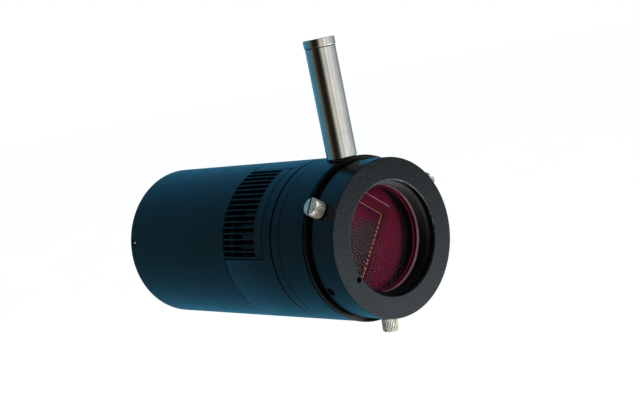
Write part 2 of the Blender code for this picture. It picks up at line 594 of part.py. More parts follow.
def drying_tube():
    """Steel tube that screws into the chamber's port and holds the desiccant."""
    place = upright(TUBE_Y)
    stem_z = 28.2 * MM
    bore_r = 2.0 * MM
    profile = [
        (TUBE_STEM_R - 0.4 * MM, stem_z), (TUBE_STEM_R, stem_z + 0.4 * MM),
        (TUBE_STEM_R, TUBE_SHOULDER_Z), (TUBE_R - GAP, TUBE_SHOULDER_Z), (TUBE_R, TUBE_SHOULDER_Z + GAP),
        (TUBE_R, TUBE_TOP_Z - 0.2 * MM), (TUBE_R - 0.2 * MM, TUBE_TOP_Z), (TUBE_BORE_R, TUBE_TOP_Z),
        (TUBE_BORE_R, 36.5 * MM), (bore_r, 35.5 * MM), (bore_r, stem_z)]
    tube = turned("drying_tube", profile, place, STAINLESS, MEDIUM)
    flat_z = (TUBE_FLAT_LOW_Z + TUBE_FLAT_HIGH_Z) / 2
    flat_size = (14 * MM, 2 * MM, TUBE_FLAT_HIGH_Z - TUBE_FLAT_LOW_Z)
    flats = [((0, side * (TUBE_FLAT_HALF + MM), flat_z), flat_size) for side in (-1, 1)]
    cut(tube, block("tube_flats", flats, place, None, CUTTERS))
    seal_z = (SPOT_FACE_Z + TUBE_SHOULDER_Z) / 2
    turned("tube_seal", o_ring(5.3 * MM, 0.3 * MM, seal_z), place, RUBBER, SMALL)
    turned("desiccant_pack", rod(4.6 * MM, 37.0 * MM, 71.5 * MM), place, BEADS, SMALL)


def tube_cap():
    """Cap with an O-ringed plug that goes into the top of the tube."""
    place = upright(TUBE_Y)
    plug_z, plug_r = 72.5 * MM, 4.6 * MM
    groove_low, groove_high, groove_r = 73.4 * MM, 75.2 * MM, 3.2 * MM
    flange_z = TUBE_TOP_Z + 0.35 * MM
    profile = [
        (0, plug_z), (plug_r, plug_z), (plug_r, groove_low), (groove_r, groove_low),
        (groove_r, groove_high), (plug_r, groove_high), (plug_r, flange_z), (CAP_R - GAP, flange_z),
        (CAP_R, flange_z + GAP), (CAP_R, CAP_TOP_Z - GAP), (CAP_R - GAP, CAP_TOP_Z), (0, CAP_TOP_Z)]
    turned("tube_cap", profile, place, STAINLESS, MEDIUM)
    turned("cap_seal", o_ring(4.1 * MM, 0.55 * MM, (groove_low + groove_high) / 2), place, RUBBER, SMALL)


def smooth_round_pieces():
    for obj in PARTS.objects:
        obj.data.shade_smooth()


adapter_ring()
lock_screws()
grub_screws()
chamber_housing()
window()
sensor()
chamber_back()
cooler()
fan()
vent_shell()
grilles()
rear_shell()
joining_ring()
boards()
rear_cover()
cover_screws()
sockets()
drying_tube()
tube_cap()
smooth_round_pieces()
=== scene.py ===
"""Looks of the cooled astronomy camera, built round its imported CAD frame.

The frame's origin is the centre of the collar's front face, +Y runs backwards along the optical
axis and +Z up along the drying tube. Lengths are metres, angles round the optical axis are
degrees from +X towards +Z.
"""
import json
import random
from math import cos, pi, radians, sin

import bmesh
import bpy
from mathutils import Matrix, Vector


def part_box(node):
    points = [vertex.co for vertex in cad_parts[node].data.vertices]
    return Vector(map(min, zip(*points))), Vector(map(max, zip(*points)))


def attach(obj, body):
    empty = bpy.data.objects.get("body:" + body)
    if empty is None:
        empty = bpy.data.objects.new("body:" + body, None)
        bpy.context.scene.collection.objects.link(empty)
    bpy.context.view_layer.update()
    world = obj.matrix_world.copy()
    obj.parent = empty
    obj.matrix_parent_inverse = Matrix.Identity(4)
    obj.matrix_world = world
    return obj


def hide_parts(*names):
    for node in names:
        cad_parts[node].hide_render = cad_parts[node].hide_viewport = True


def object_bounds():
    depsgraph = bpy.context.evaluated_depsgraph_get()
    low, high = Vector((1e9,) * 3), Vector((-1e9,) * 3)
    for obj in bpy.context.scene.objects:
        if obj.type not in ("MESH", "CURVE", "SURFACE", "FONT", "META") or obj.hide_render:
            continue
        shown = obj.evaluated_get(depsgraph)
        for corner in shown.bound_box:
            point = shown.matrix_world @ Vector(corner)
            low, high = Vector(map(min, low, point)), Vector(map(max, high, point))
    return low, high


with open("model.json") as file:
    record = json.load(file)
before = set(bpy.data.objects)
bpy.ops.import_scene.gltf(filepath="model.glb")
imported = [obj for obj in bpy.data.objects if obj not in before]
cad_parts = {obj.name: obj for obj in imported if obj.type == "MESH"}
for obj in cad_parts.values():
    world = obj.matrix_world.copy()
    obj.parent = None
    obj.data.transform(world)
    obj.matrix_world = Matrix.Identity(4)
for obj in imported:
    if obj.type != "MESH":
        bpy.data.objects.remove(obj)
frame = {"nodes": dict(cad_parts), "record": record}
cad_low, cad_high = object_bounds()

MM = 0.001
FINE, MEDIUM, SMALL = 180, 96, 48           # segments round large, middling and small pieces

# Stations and radii read from the frame
COLLAR_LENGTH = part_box("adapter_ring")[1].y
COLLAR_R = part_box("adapter_ring")[1].x
BODY_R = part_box("rear_shell")[1].x
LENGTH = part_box("rear_shell")[1].y
FLANGE_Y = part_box("chamber_housing")[0].y
HOUSING_END_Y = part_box("chamber_housing")[1].y
BACK_FRONT_Y, BACK_END_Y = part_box("chamber_back")[0].y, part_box("chamber_back")[1].y
VENT_FRONT_Y, VENT_REAR_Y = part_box("vent_shell")[0].y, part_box("vent_shell")[1].y
GRILLE_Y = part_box("grille_left")[0].y
REAR_FRONT_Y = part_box("rear_shell")[0].y
COVER_FRONT_Y, COVER_REAR_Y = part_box("rear_cover")[0].y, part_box("rear_cover")[1].y
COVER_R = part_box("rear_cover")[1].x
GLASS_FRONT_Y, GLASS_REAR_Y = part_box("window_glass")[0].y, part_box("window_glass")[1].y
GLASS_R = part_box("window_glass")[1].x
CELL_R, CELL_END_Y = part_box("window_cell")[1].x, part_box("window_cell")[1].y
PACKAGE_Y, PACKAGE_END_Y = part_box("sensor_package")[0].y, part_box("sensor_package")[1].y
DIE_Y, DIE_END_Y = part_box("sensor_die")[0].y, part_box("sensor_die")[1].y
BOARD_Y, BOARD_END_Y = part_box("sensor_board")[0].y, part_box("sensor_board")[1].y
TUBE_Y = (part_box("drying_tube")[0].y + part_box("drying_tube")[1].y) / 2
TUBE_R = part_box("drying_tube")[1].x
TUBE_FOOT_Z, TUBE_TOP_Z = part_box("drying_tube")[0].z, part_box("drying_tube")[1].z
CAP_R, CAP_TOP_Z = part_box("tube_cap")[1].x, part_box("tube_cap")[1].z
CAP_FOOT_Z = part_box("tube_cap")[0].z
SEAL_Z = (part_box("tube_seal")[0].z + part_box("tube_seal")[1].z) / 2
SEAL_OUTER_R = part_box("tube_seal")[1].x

# Details that the frame's boxes don't give. They are those of the CAD model, except where noted.
WALL, GRILLE_WALL = 1.8 * MM, 1.6 * MM
BORE_R, THREAD_R, THREAD_CREST_R = 22.0 * MM, 21.2 * MM, 20.75 * MM
THREAD_START_Y, THREAD_PITCH = 3.0 * MM, 0.75 * MM
MOUTH_CHAMFER = 0.4 * MM
POCKET_R, POCKET_Y = 27.4 * MM, 6.9 * MM
FLANGE_R, DOVETAIL_R, DOVETAIL_Y, DOVETAIL_HALF = 27.0 * MM, 25.6 * MM, 9.1 * MM, 1.2 * MM
RIM_Y, NECK_R = 14.0 * MM, 30.0 * MM
CELL_SEAT_R, CELL_SEAT_Y = 24.5 * MM, 12.2 * MM
BACK_SEAT_R, BACK_SEAT_Y = 27.5 * MM, 17.8 * MM
CHAMBER_R, BACK_BORE_R, BACK_NECK_R = 22.2 * MM, 22.0 * MM, 31.3 * MM
SCREW_Y, GRUB_Y, COVER_SCREW_Y = 8.8 * MM, 9.9 * MM, 133.3 * MM
LOCK_ANGLES = [26.3, 146.3, 266.3]
GRUB_ANGLES = [86.3, 206.3, 326.3]
COVER_ANGLES = [167.8, 287.8, 407.8]
SCREW_HOLE_R = 1.8 * MM                     # for lock and grub screws
HOLE_FLARE = 0.1 * MM                       # chamfer at the mouth of a small hole, visual only
PIN_HOLE_R, PIN_HOLE_DEPTH, PIN_HOLE_REACH = 1.1 * MM, 2.5 * MM, 23.9 * MM
COVER_HOLE_R, COVER_SINK_R, COVER_HEAD_R = 1.05 * MM, 1.5 * MM, 1.25 * MM
COVER_SEAT, COVER_HEAD_TOP = 31.3 * MM, 32.2 * MM
COVER_SHANK_R, COVER_SHANK_FOOT = 0.8 * MM, 27.6 * MM
COVER_RIM, COVER_THICK = 2.2 * MM, 2.5 * MM
LOCK_BASE, LOCK_TOP, LOCK_R = 31.3 * MM, 36.7 * MM, 3.5 * MM
LOCK_SLOT_TURNS = [152.0, 93.0, 84.0]
LOCK_SLOT_WIDTH, LOCK_SLOT_DEPTH = 0.9 * MM, 1.0 * MM
GRILLE_ANGLE, GRILLE_HALF = 142.6, 37.0
SLOT_COUNT, SLOT_PITCH, SLOT_WIDTH, SLOT_START_Y = 17, 4.25, 1.8 * MM, 45.8 * MM
SHOULDER_Z, STEM_R, TUBE_BORE_R = 32.7 * MM, 4.0 * MM, 5.0 * MM
TUBE_FLAT_HALF = 5.6 * MM
TUBE_FLAT_LOW_Z, TUBE_FLAT_HIGH_Z = 33.2 * MM, 36.2 * MM
SPOT_FACE_Z = 31.9 * MM
SPOT_FACE_R = TUBE_R + 0.3 * MM             # 0.6 mm tighter than in CAD, so that the foot hides it
PLUG_R, PLUG_GROOVE_R, PLUG_GROOVE_LOW, PLUG_GROOVE_HIGH = 4.6 * MM, 3.2 * MM, 73.4 * MM, 75.2 * MM
DIE_LONG, DIE_SHORT = 27.4 * MM, 16.0 * MM
IMAGE_LONG, IMAGE_SHORT = 23.6 * MM, 15.6 * MM
PACKAGE_LONG, PACKAGE_SHORT = 36.0 * MM, 23.0 * MM
RECESS_LONG, RECESS_SHORT = 28.0 * MM, 18.0 * MM
USB_X, JACK_X, LED_Z = -9.0 * MM, 10.0 * MM, 12.0 * MM
SOCKET_DEPTH = 9.0 * MM
JACK_R, JACK_MOUTH_R, JACK_PIN_R = 5.0 * MM, 2.9 * MM, 1.05 * MM
GAP = 0.3 * MM                              # clearance between fitted pieces

# Camera
LENS = 71.0
CAMERA_PLACE = (-0.3238, -0.3490, 0.0832)
VIEW_AZIMUTH, VIEW_ELEVATION, VIEW_ROLL = -39.86, 7.62, -11.53
FLOOR_DROP = 0.16


# Placing

def optical(angle=0.0):
    """Local Z along the optical axis, local X at the given angle round it."""
    return Matrix.Rotation(radians(-angle), 4, 'Y') @ Matrix.Rotation(radians(-90), 4, 'X')


def radial(angle, y):
    """Local Z outwards at the given angle, local X backwards."""
    outward = Vector((cos(radians(angle)), 0, sin(radians(angle))))
    backward = Vector((0, 1, 0))
    turn = Matrix((backward, outward.cross(backward), outward)).transposed().to_4x4()
    return Matrix.Translation((0, y, 0)) @ turn


TUBE_PLACE = Matrix.Translation((0, TUBE_Y, 0))


# Mesh making

def new_object(name, data):
    """An object in the scene."""
    obj = bpy.data.objects.new(name, data)
    bpy.context.scene.collection.objects.link(obj)
    return obj


def mesh_of(name, bm):
    """Mesh of a bmesh, which is freed."""
    mesh = bpy.data.meshes.new(name)
    bm.to_mesh(mesh)
    bm.free()
    return mesh


def finished(name, mesh, material, body, node=None, sharp=32.0):
    """Object for a mesh that is already in place: smooth, riding on its body, for its node."""
    obj = new_object(name, mesh)
    mesh.shade_smooth()
    mesh.set_sharp_from_angle(angle=radians(sharp))
    if material:
        mesh.materials.clear()
        mesh.materials.append(material)
    if body:
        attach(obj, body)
    if node:
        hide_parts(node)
    return obj


def soften(profile, size, steps=2):
    """Round every corner of a (radius, height) profile; points on the axis stay.

    A point just beyond each end of a rounding keeps the shading of long faces straight.
    """
    closed = profile[0][0] > 0
    count = len(profile)
    result = []
    for index, here in enumerate(profile):
        if not closed and index in (0, count - 1):
            result.append(here)
            continue
        corner = Vector(here)
        back = Vector(profile[index - 1]) - corner
        on = Vector(profile[(index + 1) % count]) - corner
        reach = min(size, 0.4 * back.length, 0.4 * on.length)
        start, end = corner + back.normalized() * reach, corner + on.normalized() * reach
        points = [corner + back.normalized() * reach * 1.15]
        for step in range(steps + 1):
            t = step / steps
            points.append(start * (1 - t) ** 2 + corner * 2 * t * (1 - t) + end * t ** 2)
        points.append(corner + on.normalized() * reach * 1.15)
        result += [(point.x, point.y) for point in points]
    return result


def lathe_mesh(name, profile, place, segments):
    """Turn a profile that goes up its outer side and down its inner side about local Z."""
    closed = profile[0][0] > 0
    verts, rings = [], []
    for radius, height in profile:
        if radius <= 1e-7:
            rings.append([len(verts)] * segments)
            verts.append(place @ Vector((0, 0, height)))
            continue
        rings.append(list(range(len(verts), len(verts) + segments)))
        for step in range(segments):
            turn = 2 * pi * step / segments
            verts.append(place @ Vector((radius * cos(turn), radius * sin(turn), height)))
    faces = []
    for index in range(len(rings) if closed else len(rings) - 1):
        low, high = rings[index], rings[(index + 1) % len(rings)]
        for step in range(segments):
            on = (step + 1) % segments
            corners = (low[step], low[on], high[on], high[step])
            face = [v for i, v in enumerate(corners) if v != corners[i - 1]]
            faces.append(face)
    mesh = bpy.data.meshes.new(name)
    mesh.from_pydata(verts, [], faces)
    return mesh


def lathe(name, profile, place, material, body, node=None, segments=FINE, fillet=0.15 * MM):
    """A turned piece with rounded edges."""
    mesh = lathe_mesh(name, soften(profile, fillet) if fillet else profile, place, segments)
    return finished(name, mesh, material, body, node)


def boxes_mesh(name, boxes, place, bevel=0.0):
    """One mesh of (centre, size) boxes, placed by a matrix."""
    bm = bmesh.new()
    for centre, size in boxes:
        fit = place @ Matrix.Translation(centre) @ Matrix.Diagonal((*size, 1.0))
        bmesh.ops.create_cube(bm, size=1.0, matrix=fit)
    if bevel:
        bmesh.ops.bevel(bm, geom=bm.edges[:], offset=bevel, segments=2, affect='EDGES', profile=0.6)
    return mesh_of(name, bm)


def bake_modifiers(obj):
    """Replace an object's mesh by its evaluated one, with no modifiers left."""
    view = bpy.context.evaluated_depsgraph_get()
    mesh = bpy.data.meshes.new_from_object(obj.evaluated_get(view))
    obj.modifiers.clear()
    old = obj.data
    obj.data = mesh
    bpy.data.meshes.remove(old)
    mesh.set_sharp_from_angle(angle=radians(32))


def carve(obj, meshes):
    """Cut every given mesh out of an object."""
    cutters = []
    for number, mesh in enumerate(meshes):
        cutter = new_object(f"{obj.name}_cutter_{number}", mesh)
        modifier = obj.modifiers.new(cutter.name, 'BOOLEAN')
        modifier.operation = 'DIFFERENCE'
        modifier.solver = 'EXACT'
        modifier.object = cutter
        cutters.append(cutter)
    bpy.context.view_layer.update()
    bake_modifiers(obj)
    for cutter in cutters:
        bpy.data.objects.remove(cutter)


def paint(obj, material, chosen):
    """Give the chosen polygons of a piece another finish."""
    obj.data.materials.append(material)
    for polygon in obj.data.polygons:
        if chosen(polygon):
            polygon.material_index = len(obj.data.materials) - 1


def hole(radius, low, high, place, flare=0.0, segments=SMALL):
    """Cutter for a round hole, with its mouth flared by a small chamfer at the high end."""
    mouth = [(radius, high - flare), (radius + flare, high)] if flare else []
    profile = [(0, low), (radius, low), *mouth, (radius + flare, high + MM), (0, high + MM)]
    return lathe_mesh("hole", profile, place, segments)


def wrapped_shell(name, radius, wall, angles, stations, keep, material, node, bevel=0.12 * MM):
    """A curved panel: cells between angles and stations, kept or left open, then made thick."""
    bm = bmesh.new()
    grid = {}
    closed = abs(angles[-1] - angles[0] - 360) < 1e-6

    def corner(i, j):
        if closed and i == len(angles) - 1:
            i = 0
        if (i, j) not in grid:
            turn = radians(angles[i])
            grid[i, j] = bm.verts.new((radius * cos(turn), stations[j], radius * sin(turn)))
        return grid[i, j]

    for i in range(len(angles) - 1):
        for j in range(len(stations) - 1):
            if keep((angles[i] + angles[i + 1]) / 2, (stations[j] + stations[j + 1]) / 2):
                bm.faces.new((corner(i, j), corner(i, j + 1), corner(i + 1, j + 1), corner(i + 1, j)))
    bmesh.ops.recalc_face_normals(bm, faces=bm.faces[:])
    if bm.faces[0].normal.dot(bm.faces[0].calc_center_median() * Vector((1, 0, 1))) < 0:
        bmesh.ops.reverse_faces(bm, faces=bm.faces[:])
    obj = new_object(name, mesh_of(name, bm))
    solid = obj.modifiers.new("wall", 'SOLIDIFY')
    solid.thickness = wall
    solid.offset = -1
    solid.use_even_offset = True
    round_off = obj.modifiers.new("edges", 'BEVEL')
    round_off.width = bevel
    round_off.segments = 2
    round_off.limit_method = 'ANGLE'
    round_off.angle_limit = radians(40)
    round_off.harden_normals = True
    bpy.context.view_layer.update()
    bake_modifiers(obj)
    mesh = obj.data.copy()
    bpy.data.objects.remove(obj)
    return finished(name, mesh, material, "camera", node)


# Materials

class Nodes:
    """A node tree, with short calls for the nodes that the finishes and the room share."""

    def __init__(self, tree):
        self.tree = tree

    def add(self, kind):
        """A new node, named by its kind, such as Math."""
        return self.tree.nodes.new(f"ShaderNode{kind}")

    def link(self, source, socket):
        """Link an output to an input."""
        self.tree.links.new(source, socket)

    def ramp(self, value, *stops):
        """Colours or greys at positions, such as (0.3, 0.2), (0.7, 0.5)."""
        node = self.add("ValToRGB")
        band = node.color_ramp
        while len(band.elements) < len(stops):
            band.elements.new(0.5)
        for element, (position, colour) in zip(band.elements, stops):
            element.position = position
            element.color = (*colour, 1) if isinstance(colour, tuple) else (colour, colour, colour, 1)
        self.link(value, node.inputs["Fac"])
        return node.outputs["Color"]

    def maths(self, operation, first, second=None):
        """One Math node; its inputs are numbers or outputs."""
        node = self.add("Math")
        node.operation = operation
        for socket, value in zip(node.inputs, (first, second)):
            if isinstance(value, (int, float)):
                socket.default_value = value
            elif value is not None:
                self.link(value, socket)
        return node.outputs["Value"]

    def parts(self, vector):
        """The X, Y and Z outputs of a vector."""
        node = self.add("SeparateXYZ")
        self.link(vector, node.inputs["Vector"])
        return node.outputs


class Recipe(Nodes):
    """A material made of one Principled shader, whose inputs are linked by name."""

    def __init__(self, name, colour, roughness, metallic=0.0, **constants):
        self.material = bpy.data.materials.new(name)
        self.material.use_nodes = True
        super().__init__(self.material.node_tree)
        self.shader = self.tree.nodes["Principled BSDF"]
        self.shader.inputs["Base Color"].default_value = (*colour, 1)
        self.shader.inputs["Roughness"].default_value = roughness
        self.shader.inputs["Metallic"].default_value = metallic
        for socket, value in constants.items():
            self.shader.inputs[socket.replace("_", " ")].default_value = value
        self.where = self.add("TexCoord").outputs["Object"]

    def link(self, source, socket):
        """Link to a socket, or to the shader's input of that name."""
        super().link(source, self.shader.inputs[socket] if isinstance(socket, str) else socket)

    def scaled(self, scale):
        """Object coordinates stretched along each axis."""
        node = self.add("Mapping")
        node.inputs["Scale"].default_value = scale
        self.link(self.where, node.inputs["Vector"])
        return node.outputs["Vector"]

    def noise(self, scale, detail=3.0, rough=0.6, vector=None):
        """Noise from 0 to 1, with its scale in cells per metre."""
        node = self.add("TexNoise")
        node.inputs["Scale"].default_value = scale
        node.inputs["Detail"].default_value = detail
        node.inputs["Roughness"].default_value = rough
        self.link(vector or self.where, node.inputs["Vector"])
        return node.outputs["Fac"]

    def clouded(self, socket, scale, detail, low, high, start=0.3, end=0.7):
        """Drive one of the shader's inputs by noise, from low to high."""
        self.link(self.ramp(self.noise(scale, detail), (start, low), (end, high)), socket)

    def cells(self, scale):
        """Distance to the nearest cell's centre."""
        node = self.add("TexVoronoi")
        node.inputs["Scale"].default_value = scale
        self.link(self.where, node.inputs["Vector"])
        return node.outputs["Distance"]

    def distance_from_axis(self):
        """Distance from the optical axis."""
        parts = self.parts(self.where)
        square = self.maths('ADD', self.maths('POWER', parts["X"], 2.0), self.maths('POWER', parts["Z"], 2.0))
        return self.maths('SQRT', square)

    def bump(self, height, strength, depth):
        """Fine relief, with its depth in metres."""
        node = self.add("Bump")
        node.inputs["Strength"].default_value = strength
        node.inputs["Distance"].default_value = depth
        self.link(height, node.inputs["Height"])
        self.link(node.outputs["Normal"], "Normal")


def anodised(name, dark, light, rough_low, rough_high, grain, grain_depth, ior=1.37):
    """Black anodised aluminium: blasted grain, faint clouding, dust and handling in the gloss."""
    recipe = Recipe(name, dark, 0.3, IOR=ior)
    recipe.clouded("Base Color", 60, 4, dark, light, 0.35)
    smudges = recipe.noise(140, 5, 0.65)
    recipe.link(recipe.ramp(smudges, (0.3, rough_low), (0.7, rough_high)), "Roughness")
    recipe.bump(recipe.noise(grain, 2, 0.5), 0.25, grain_depth)
    return recipe.material


def collar_side():
    """The collar's turned side: glossy black with fine grain."""
    recipe = Recipe("anodised_matte", (0.002, 0.0025, 0.003), 0.3, IOR=1.38)
    grain = recipe.noise(1500, 2, 0.7)
    recipe.link(recipe.ramp(grain, (0.4, (0.001, 0.002, 0.0025)), (0.7, (0.002, 0.0035, 0.004))),
                "Base Color")
    recipe.clouded("Roughness", 300, 4, 0.24, 0.32)
    recipe.bump(grain, 0.25, 0.00005)
    return recipe.material


def collar_face():
    """The collar's blasted face: matt black with pale specks."""
    recipe = Recipe("blasted_face", (0.002, 0.0025, 0.003), 0.3, IOR=1.24,
                    Specular_Tint=(0.80, 0.93, 1.0, 1))
    grain = recipe.noise(1500, 2, 0.7)
    specks = recipe.ramp(grain, (0.45, (0.0008, 0.0015, 0.0017)), (0.60, (0.0035, 0.0050, 0.0052)),
                         (0.70, (0.045, 0.053, 0.053)))
    recipe.link(specks, "Base Color")
    recipe.clouded("Roughness", 300, 4, 0.20, 0.27)
    recipe.bump(grain, 0.3, 0.00005)
    return recipe.material


def worn_edge():
    """Bare metal that shows where the black has worn off a sharp edge."""
    recipe = Recipe("worn_edge", (0.12, 0.125, 0.13), 0.3, 1.0)
    recipe.clouded("Base Color", 600, 3, 0.015, (0.11, 0.115, 0.12), 0.4)
    recipe.clouded("Roughness", 900, 3, 0.25, 0.4)
    return recipe.material


def steel(name, colour, direction, rough_low=0.10, rough_high=0.16):
    """Bright steel with fine lines along one direction."""
    recipe = Recipe(name, colour, 0.13, 1.0)
    lines = recipe.noise(900, 3, 0.6, recipe.scaled(direction))
    recipe.link(recipe.ramp(lines, (0.3, rough_low), (0.7, rough_high)), "Roughness")
    darker = tuple(part * 0.86 for part in colour)
    recipe.clouded("Base Color", 90, 3, darker, colour, end=0.65)
    recipe.bump(lines, 0.03, 0.00002)
    return recipe.material


def nickel():
    """Dull nickel plate, warm and cloudy, with small dents that catch the light."""
    recipe = Recipe("nickel_plate", (0.60, 0.58, 0.49), 0.4, 0.8)
    recipe.clouded("Roughness", 700, 4, 0.22, 0.45)
    recipe.clouded("Base Color", 450, 3, (0.40, 0.39, 0.32), (0.74, 0.72, 0.62))
    recipe.bump(recipe.noise(900, 2), 0.35, 0.0002)
    return recipe.material


def coated_glass():
    """Clear window whose coating is faintly magenta and reflects very little."""
    recipe = Recipe("coated_glass", (0.94, 0.66, 0.76), 0.02, IOR=1.09, Transmission_Weight=1.0)
    recipe.clouded("Base Color", 70, 3, (0.95, 0.58, 0.72), (0.93, 0.62, 0.77))
    return recipe.material


def ground_edge():
    """The window's ground and chamfered rim, which catches the light."""
    recipe = Recipe("ground_glass", (0.28, 0.20, 0.17), 0.45)
    recipe.clouded("Base Color", 500, 4, (0.20, 0.145, 0.12), (0.36, 0.26, 0.22))
    recipe.bump(recipe.noise(2500, 2), 0.2, 0.00004)
    return recipe.material


def circuit_board(name, mask, trace, shine=0.5):
    """Solder mask with copper traces under it and plated vias."""
    recipe = Recipe(name, mask, 0.4, Specular_IOR_Level=shine)
    traces = recipe.ramp(recipe.cells(420), (0.42, trace), (0.5, mask))
    recipe.link(traces, "Base Color")
    recipe.clouded("Roughness", 300, 3, 0.35, 0.5)
    recipe.bump(recipe.cells(420), 0.3, 0.00005)
    return recipe.material


def plain(name, low, high, rough_low, rough_high, scale, metallic=0.0, grain=0.00003, shine=0.5):
    """A solid finish with its colour, gloss and surface each a little uneven."""
    recipe = Recipe(name, low, rough_low, metallic, Specular_IOR_Level=shine)
    recipe.clouded("Base Color", scale, 4, low, high)
    recipe.clouded("Roughness", scale * 2.2, 3, rough_low, rough_high)
    recipe.bump(recipe.noise(scale * 8, 2), 0.15, grain)
    return recipe.material


def turned_metal(name, low, high, rough_low, rough_high):
    """Machined metal with fine rings round the optical axis."""
    recipe = Recipe(name, low, rough_low, 1.0)
    tool_mark = 0.25 * MM
    rings = recipe.maths('SINE', recipe.maths('MULTIPLY', recipe.distance_from_axis(), 2 * pi / tool_mark))
    recipe.clouded("Base Color", 200, 3, low, high)
    recipe.clouded("Roughness", 500, 3, rough_low, rough_high)
    recipe.bump(rings, 0.08, 0.00003)
    return recipe.material


def silicon_with_painted_light():
    """Polished silicon with painted light: its colour runs from grey-green low down to crimson high up, by
    height on the die.
    """
    recipe = Recipe("silicon", (0.10, 0.012, 0.035), 0.15, Specular_IOR_Level=0.06)
    # Painted light: colour set by height on the die, grey-green low down and crimson high up, standing in for
    # how the light falls on the microlenses.
    height = recipe.maths('DIVIDE', recipe.parts(recipe.where)["Z"], 2 * CHAMBER_R)
    height = recipe.maths('ADD', height, 0.35)
    clouded = recipe.maths('ADD', height, recipe.maths('MULTIPLY', recipe.noise(90, 2), 0.3))
    recipe.link(recipe.ramp(clouded, (0.52, (0.028, 0.034, 0.026)), (0.62, (0.050, 0.020, 0.026)),
                            (0.72, (0.095, 0.006, 0.030))), "Base Color")
    recipe.clouded("Roughness", 400, 2, 0.08, 0.16)
    return recipe.material


BODY_BLACK = anodised("anodised_black", (0.0008, 0.0016, 0.0021), (0.0013, 0.0024, 0.0031), 0.25, 0.33,
                      2600, 0.00004)
MATTE_BLACK = collar_side()
FACE_BLACK = collar_face()
WORN_EDGE = worn_edge()
INNER_BLACK = anodised("inner_black", (0.0008, 0.0008, 0.0008), (0.0016, 0.0016, 0.0016), 0.28, 0.4,
                       1800, 0.00006, 1.25)
CHAMBER_BLACK = plain("chamber_black", (0.0003, 0.0003, 0.0003), (0.0008, 0.0008, 0.0008), 0.6, 0.8, 500,
                      shine=0.05)
STAINLESS = steel("stainless_steel", (0.66, 0.64, 0.61), (1.0, 1.0, 0.02))
NICKEL = nickel()
# Dark brown for the thumb screws' slots, as painted shade.
SLOT_SHADE = plain("painted_slot_shade", (0.010, 0.008, 0.005), (0.05, 0.04, 0.025), 0.5, 0.7, 700)
# Pale grey for the cover screws' slots: a painted highlight.
SLOT_GLINT = plain("painted_slot_glint", (0.62, 0.62, 0.60), (0.80, 0.80, 0.78), 0.35, 0.5, 600, 0.2)
BLACK_STEEL = plain("black_steel", (0.004, 0.004, 0.004), (0.012, 0.012, 0.012), 0.3, 0.45, 500)
GLASS = coated_glass()
GROUND_GLASS = ground_edge()
DARK_RED_SEAL = plain("dark_red_seal", (0.10, 0.005, 0.030), (0.13, 0.008, 0.042), 0.45, 0.6, 400)
RUBBER = plain("rubber", (0.008, 0.008, 0.008), (0.02, 0.02, 0.02), 0.5, 0.7, 400)
CERAMIC = plain("package_ceramic", (0.075, 0.003, 0.016), (0.095, 0.005, 0.022), 0.4, 0.55, 500,
                shine=0.1)
# The sensor's silicon carries painted light, graded by height.
SILICON_WITH_PAINTED_LIGHT = silicon_with_painted_light()
CHIP_EDGE = plain("chip_edge", (0.035, 0.004, 0.028), (0.05, 0.006, 0.036), 0.2, 0.3, 300,
                  shine=0.2)
GOLD = plain("gold_plate", (0.70, 0.42, 0.08), (1.0, 0.72, 0.16), 0.35, 0.5, 1500, 0.2)
SENSOR_BOARD = circuit_board("sensor_board_mask", (0.135, 0.005, 0.032), (0.165, 0.008, 0.042), 0.1)
# The main board's mask is near-black: painted shade for the dark inside seen through the grille slots.
BOARD_IN_PAINTED_SHADE = circuit_board("circuit_board", (0.002, 0.007, 0.004), (0.004, 0.012, 0.007), 0.2)
ALUMINIUM = turned_metal("bare_aluminium", (0.62, 0.62, 0.63), (0.80, 0.80, 0.81), 0.28, 0.42)
COPPER = turned_metal("copper", (0.62, 0.30, 0.18), (0.84, 0.46, 0.30), 0.25, 0.4)
WHITE_CERAMIC = plain("cooler_ceramic", (0.74, 0.74, 0.70), (0.88, 0.88, 0.85), 0.4, 0.6, 300)
BLACK_PLASTIC = plain("black_plastic", (0.012, 0.012, 0.012), (0.024, 0.024, 0.024), 0.4, 0.55, 350)
WHITE_PLASTIC = plain("white_plastic", (0.70, 0.70, 0.67), (0.82, 0.82, 0.79), 0.35, 0.5, 350)
BEADS = plain("desiccant_beads", (0.70, 0.32, 0.05), (0.95, 0.55, 0.15), 0.3, 0.5, 700)
LED_LENS = plain("led_lens", (0.02, 0.35, 0.06), (0.08, 0.60, 0.14), 0.1, 0.2, 300)

SLOTS = {entry["node"]: entry["material_slot"] for entry in frame["record"]["subparts"]}
CARRIED = {
    "nickel_plate": NICKEL, "rubber": RUBBER, "circuit_board": BOARD_IN_PAINTED_SHADE, "copper": COPPER,
    "black_steel": BLACK_STEEL, "cooler_ceramic": WHITE_CERAMIC, "bare_aluminium": ALUMINIUM,
    "black_plastic": BLACK_PLASTIC, "desiccant_beads": BEADS, "led_lens": LED_LENS,
    "anodised_black": BODY_BLACK, "anodised_matte": MATTE_BLACK, "stainless_steel": STAINLESS,
    "coated_glass": GLASS, "package_ceramic": CERAMIC, "silicon": SILICON_WITH_PAINTED_LIGHT}


def dress_cad_nodes():
    """Every CAD node takes the finish of its slot; those with a finer piece are hidden later."""
    for node, obj in frame["nodes"].items():
        obj.data.materials.clear()
        finish = DARK_RED_SEAL if node == "window_seal" else CARRIED[SLOTS[node]]
        obj.data.materials.append(finish)
        obj.data.set_sharp_from_angle(angle=radians(32))


# Collar and lock screws

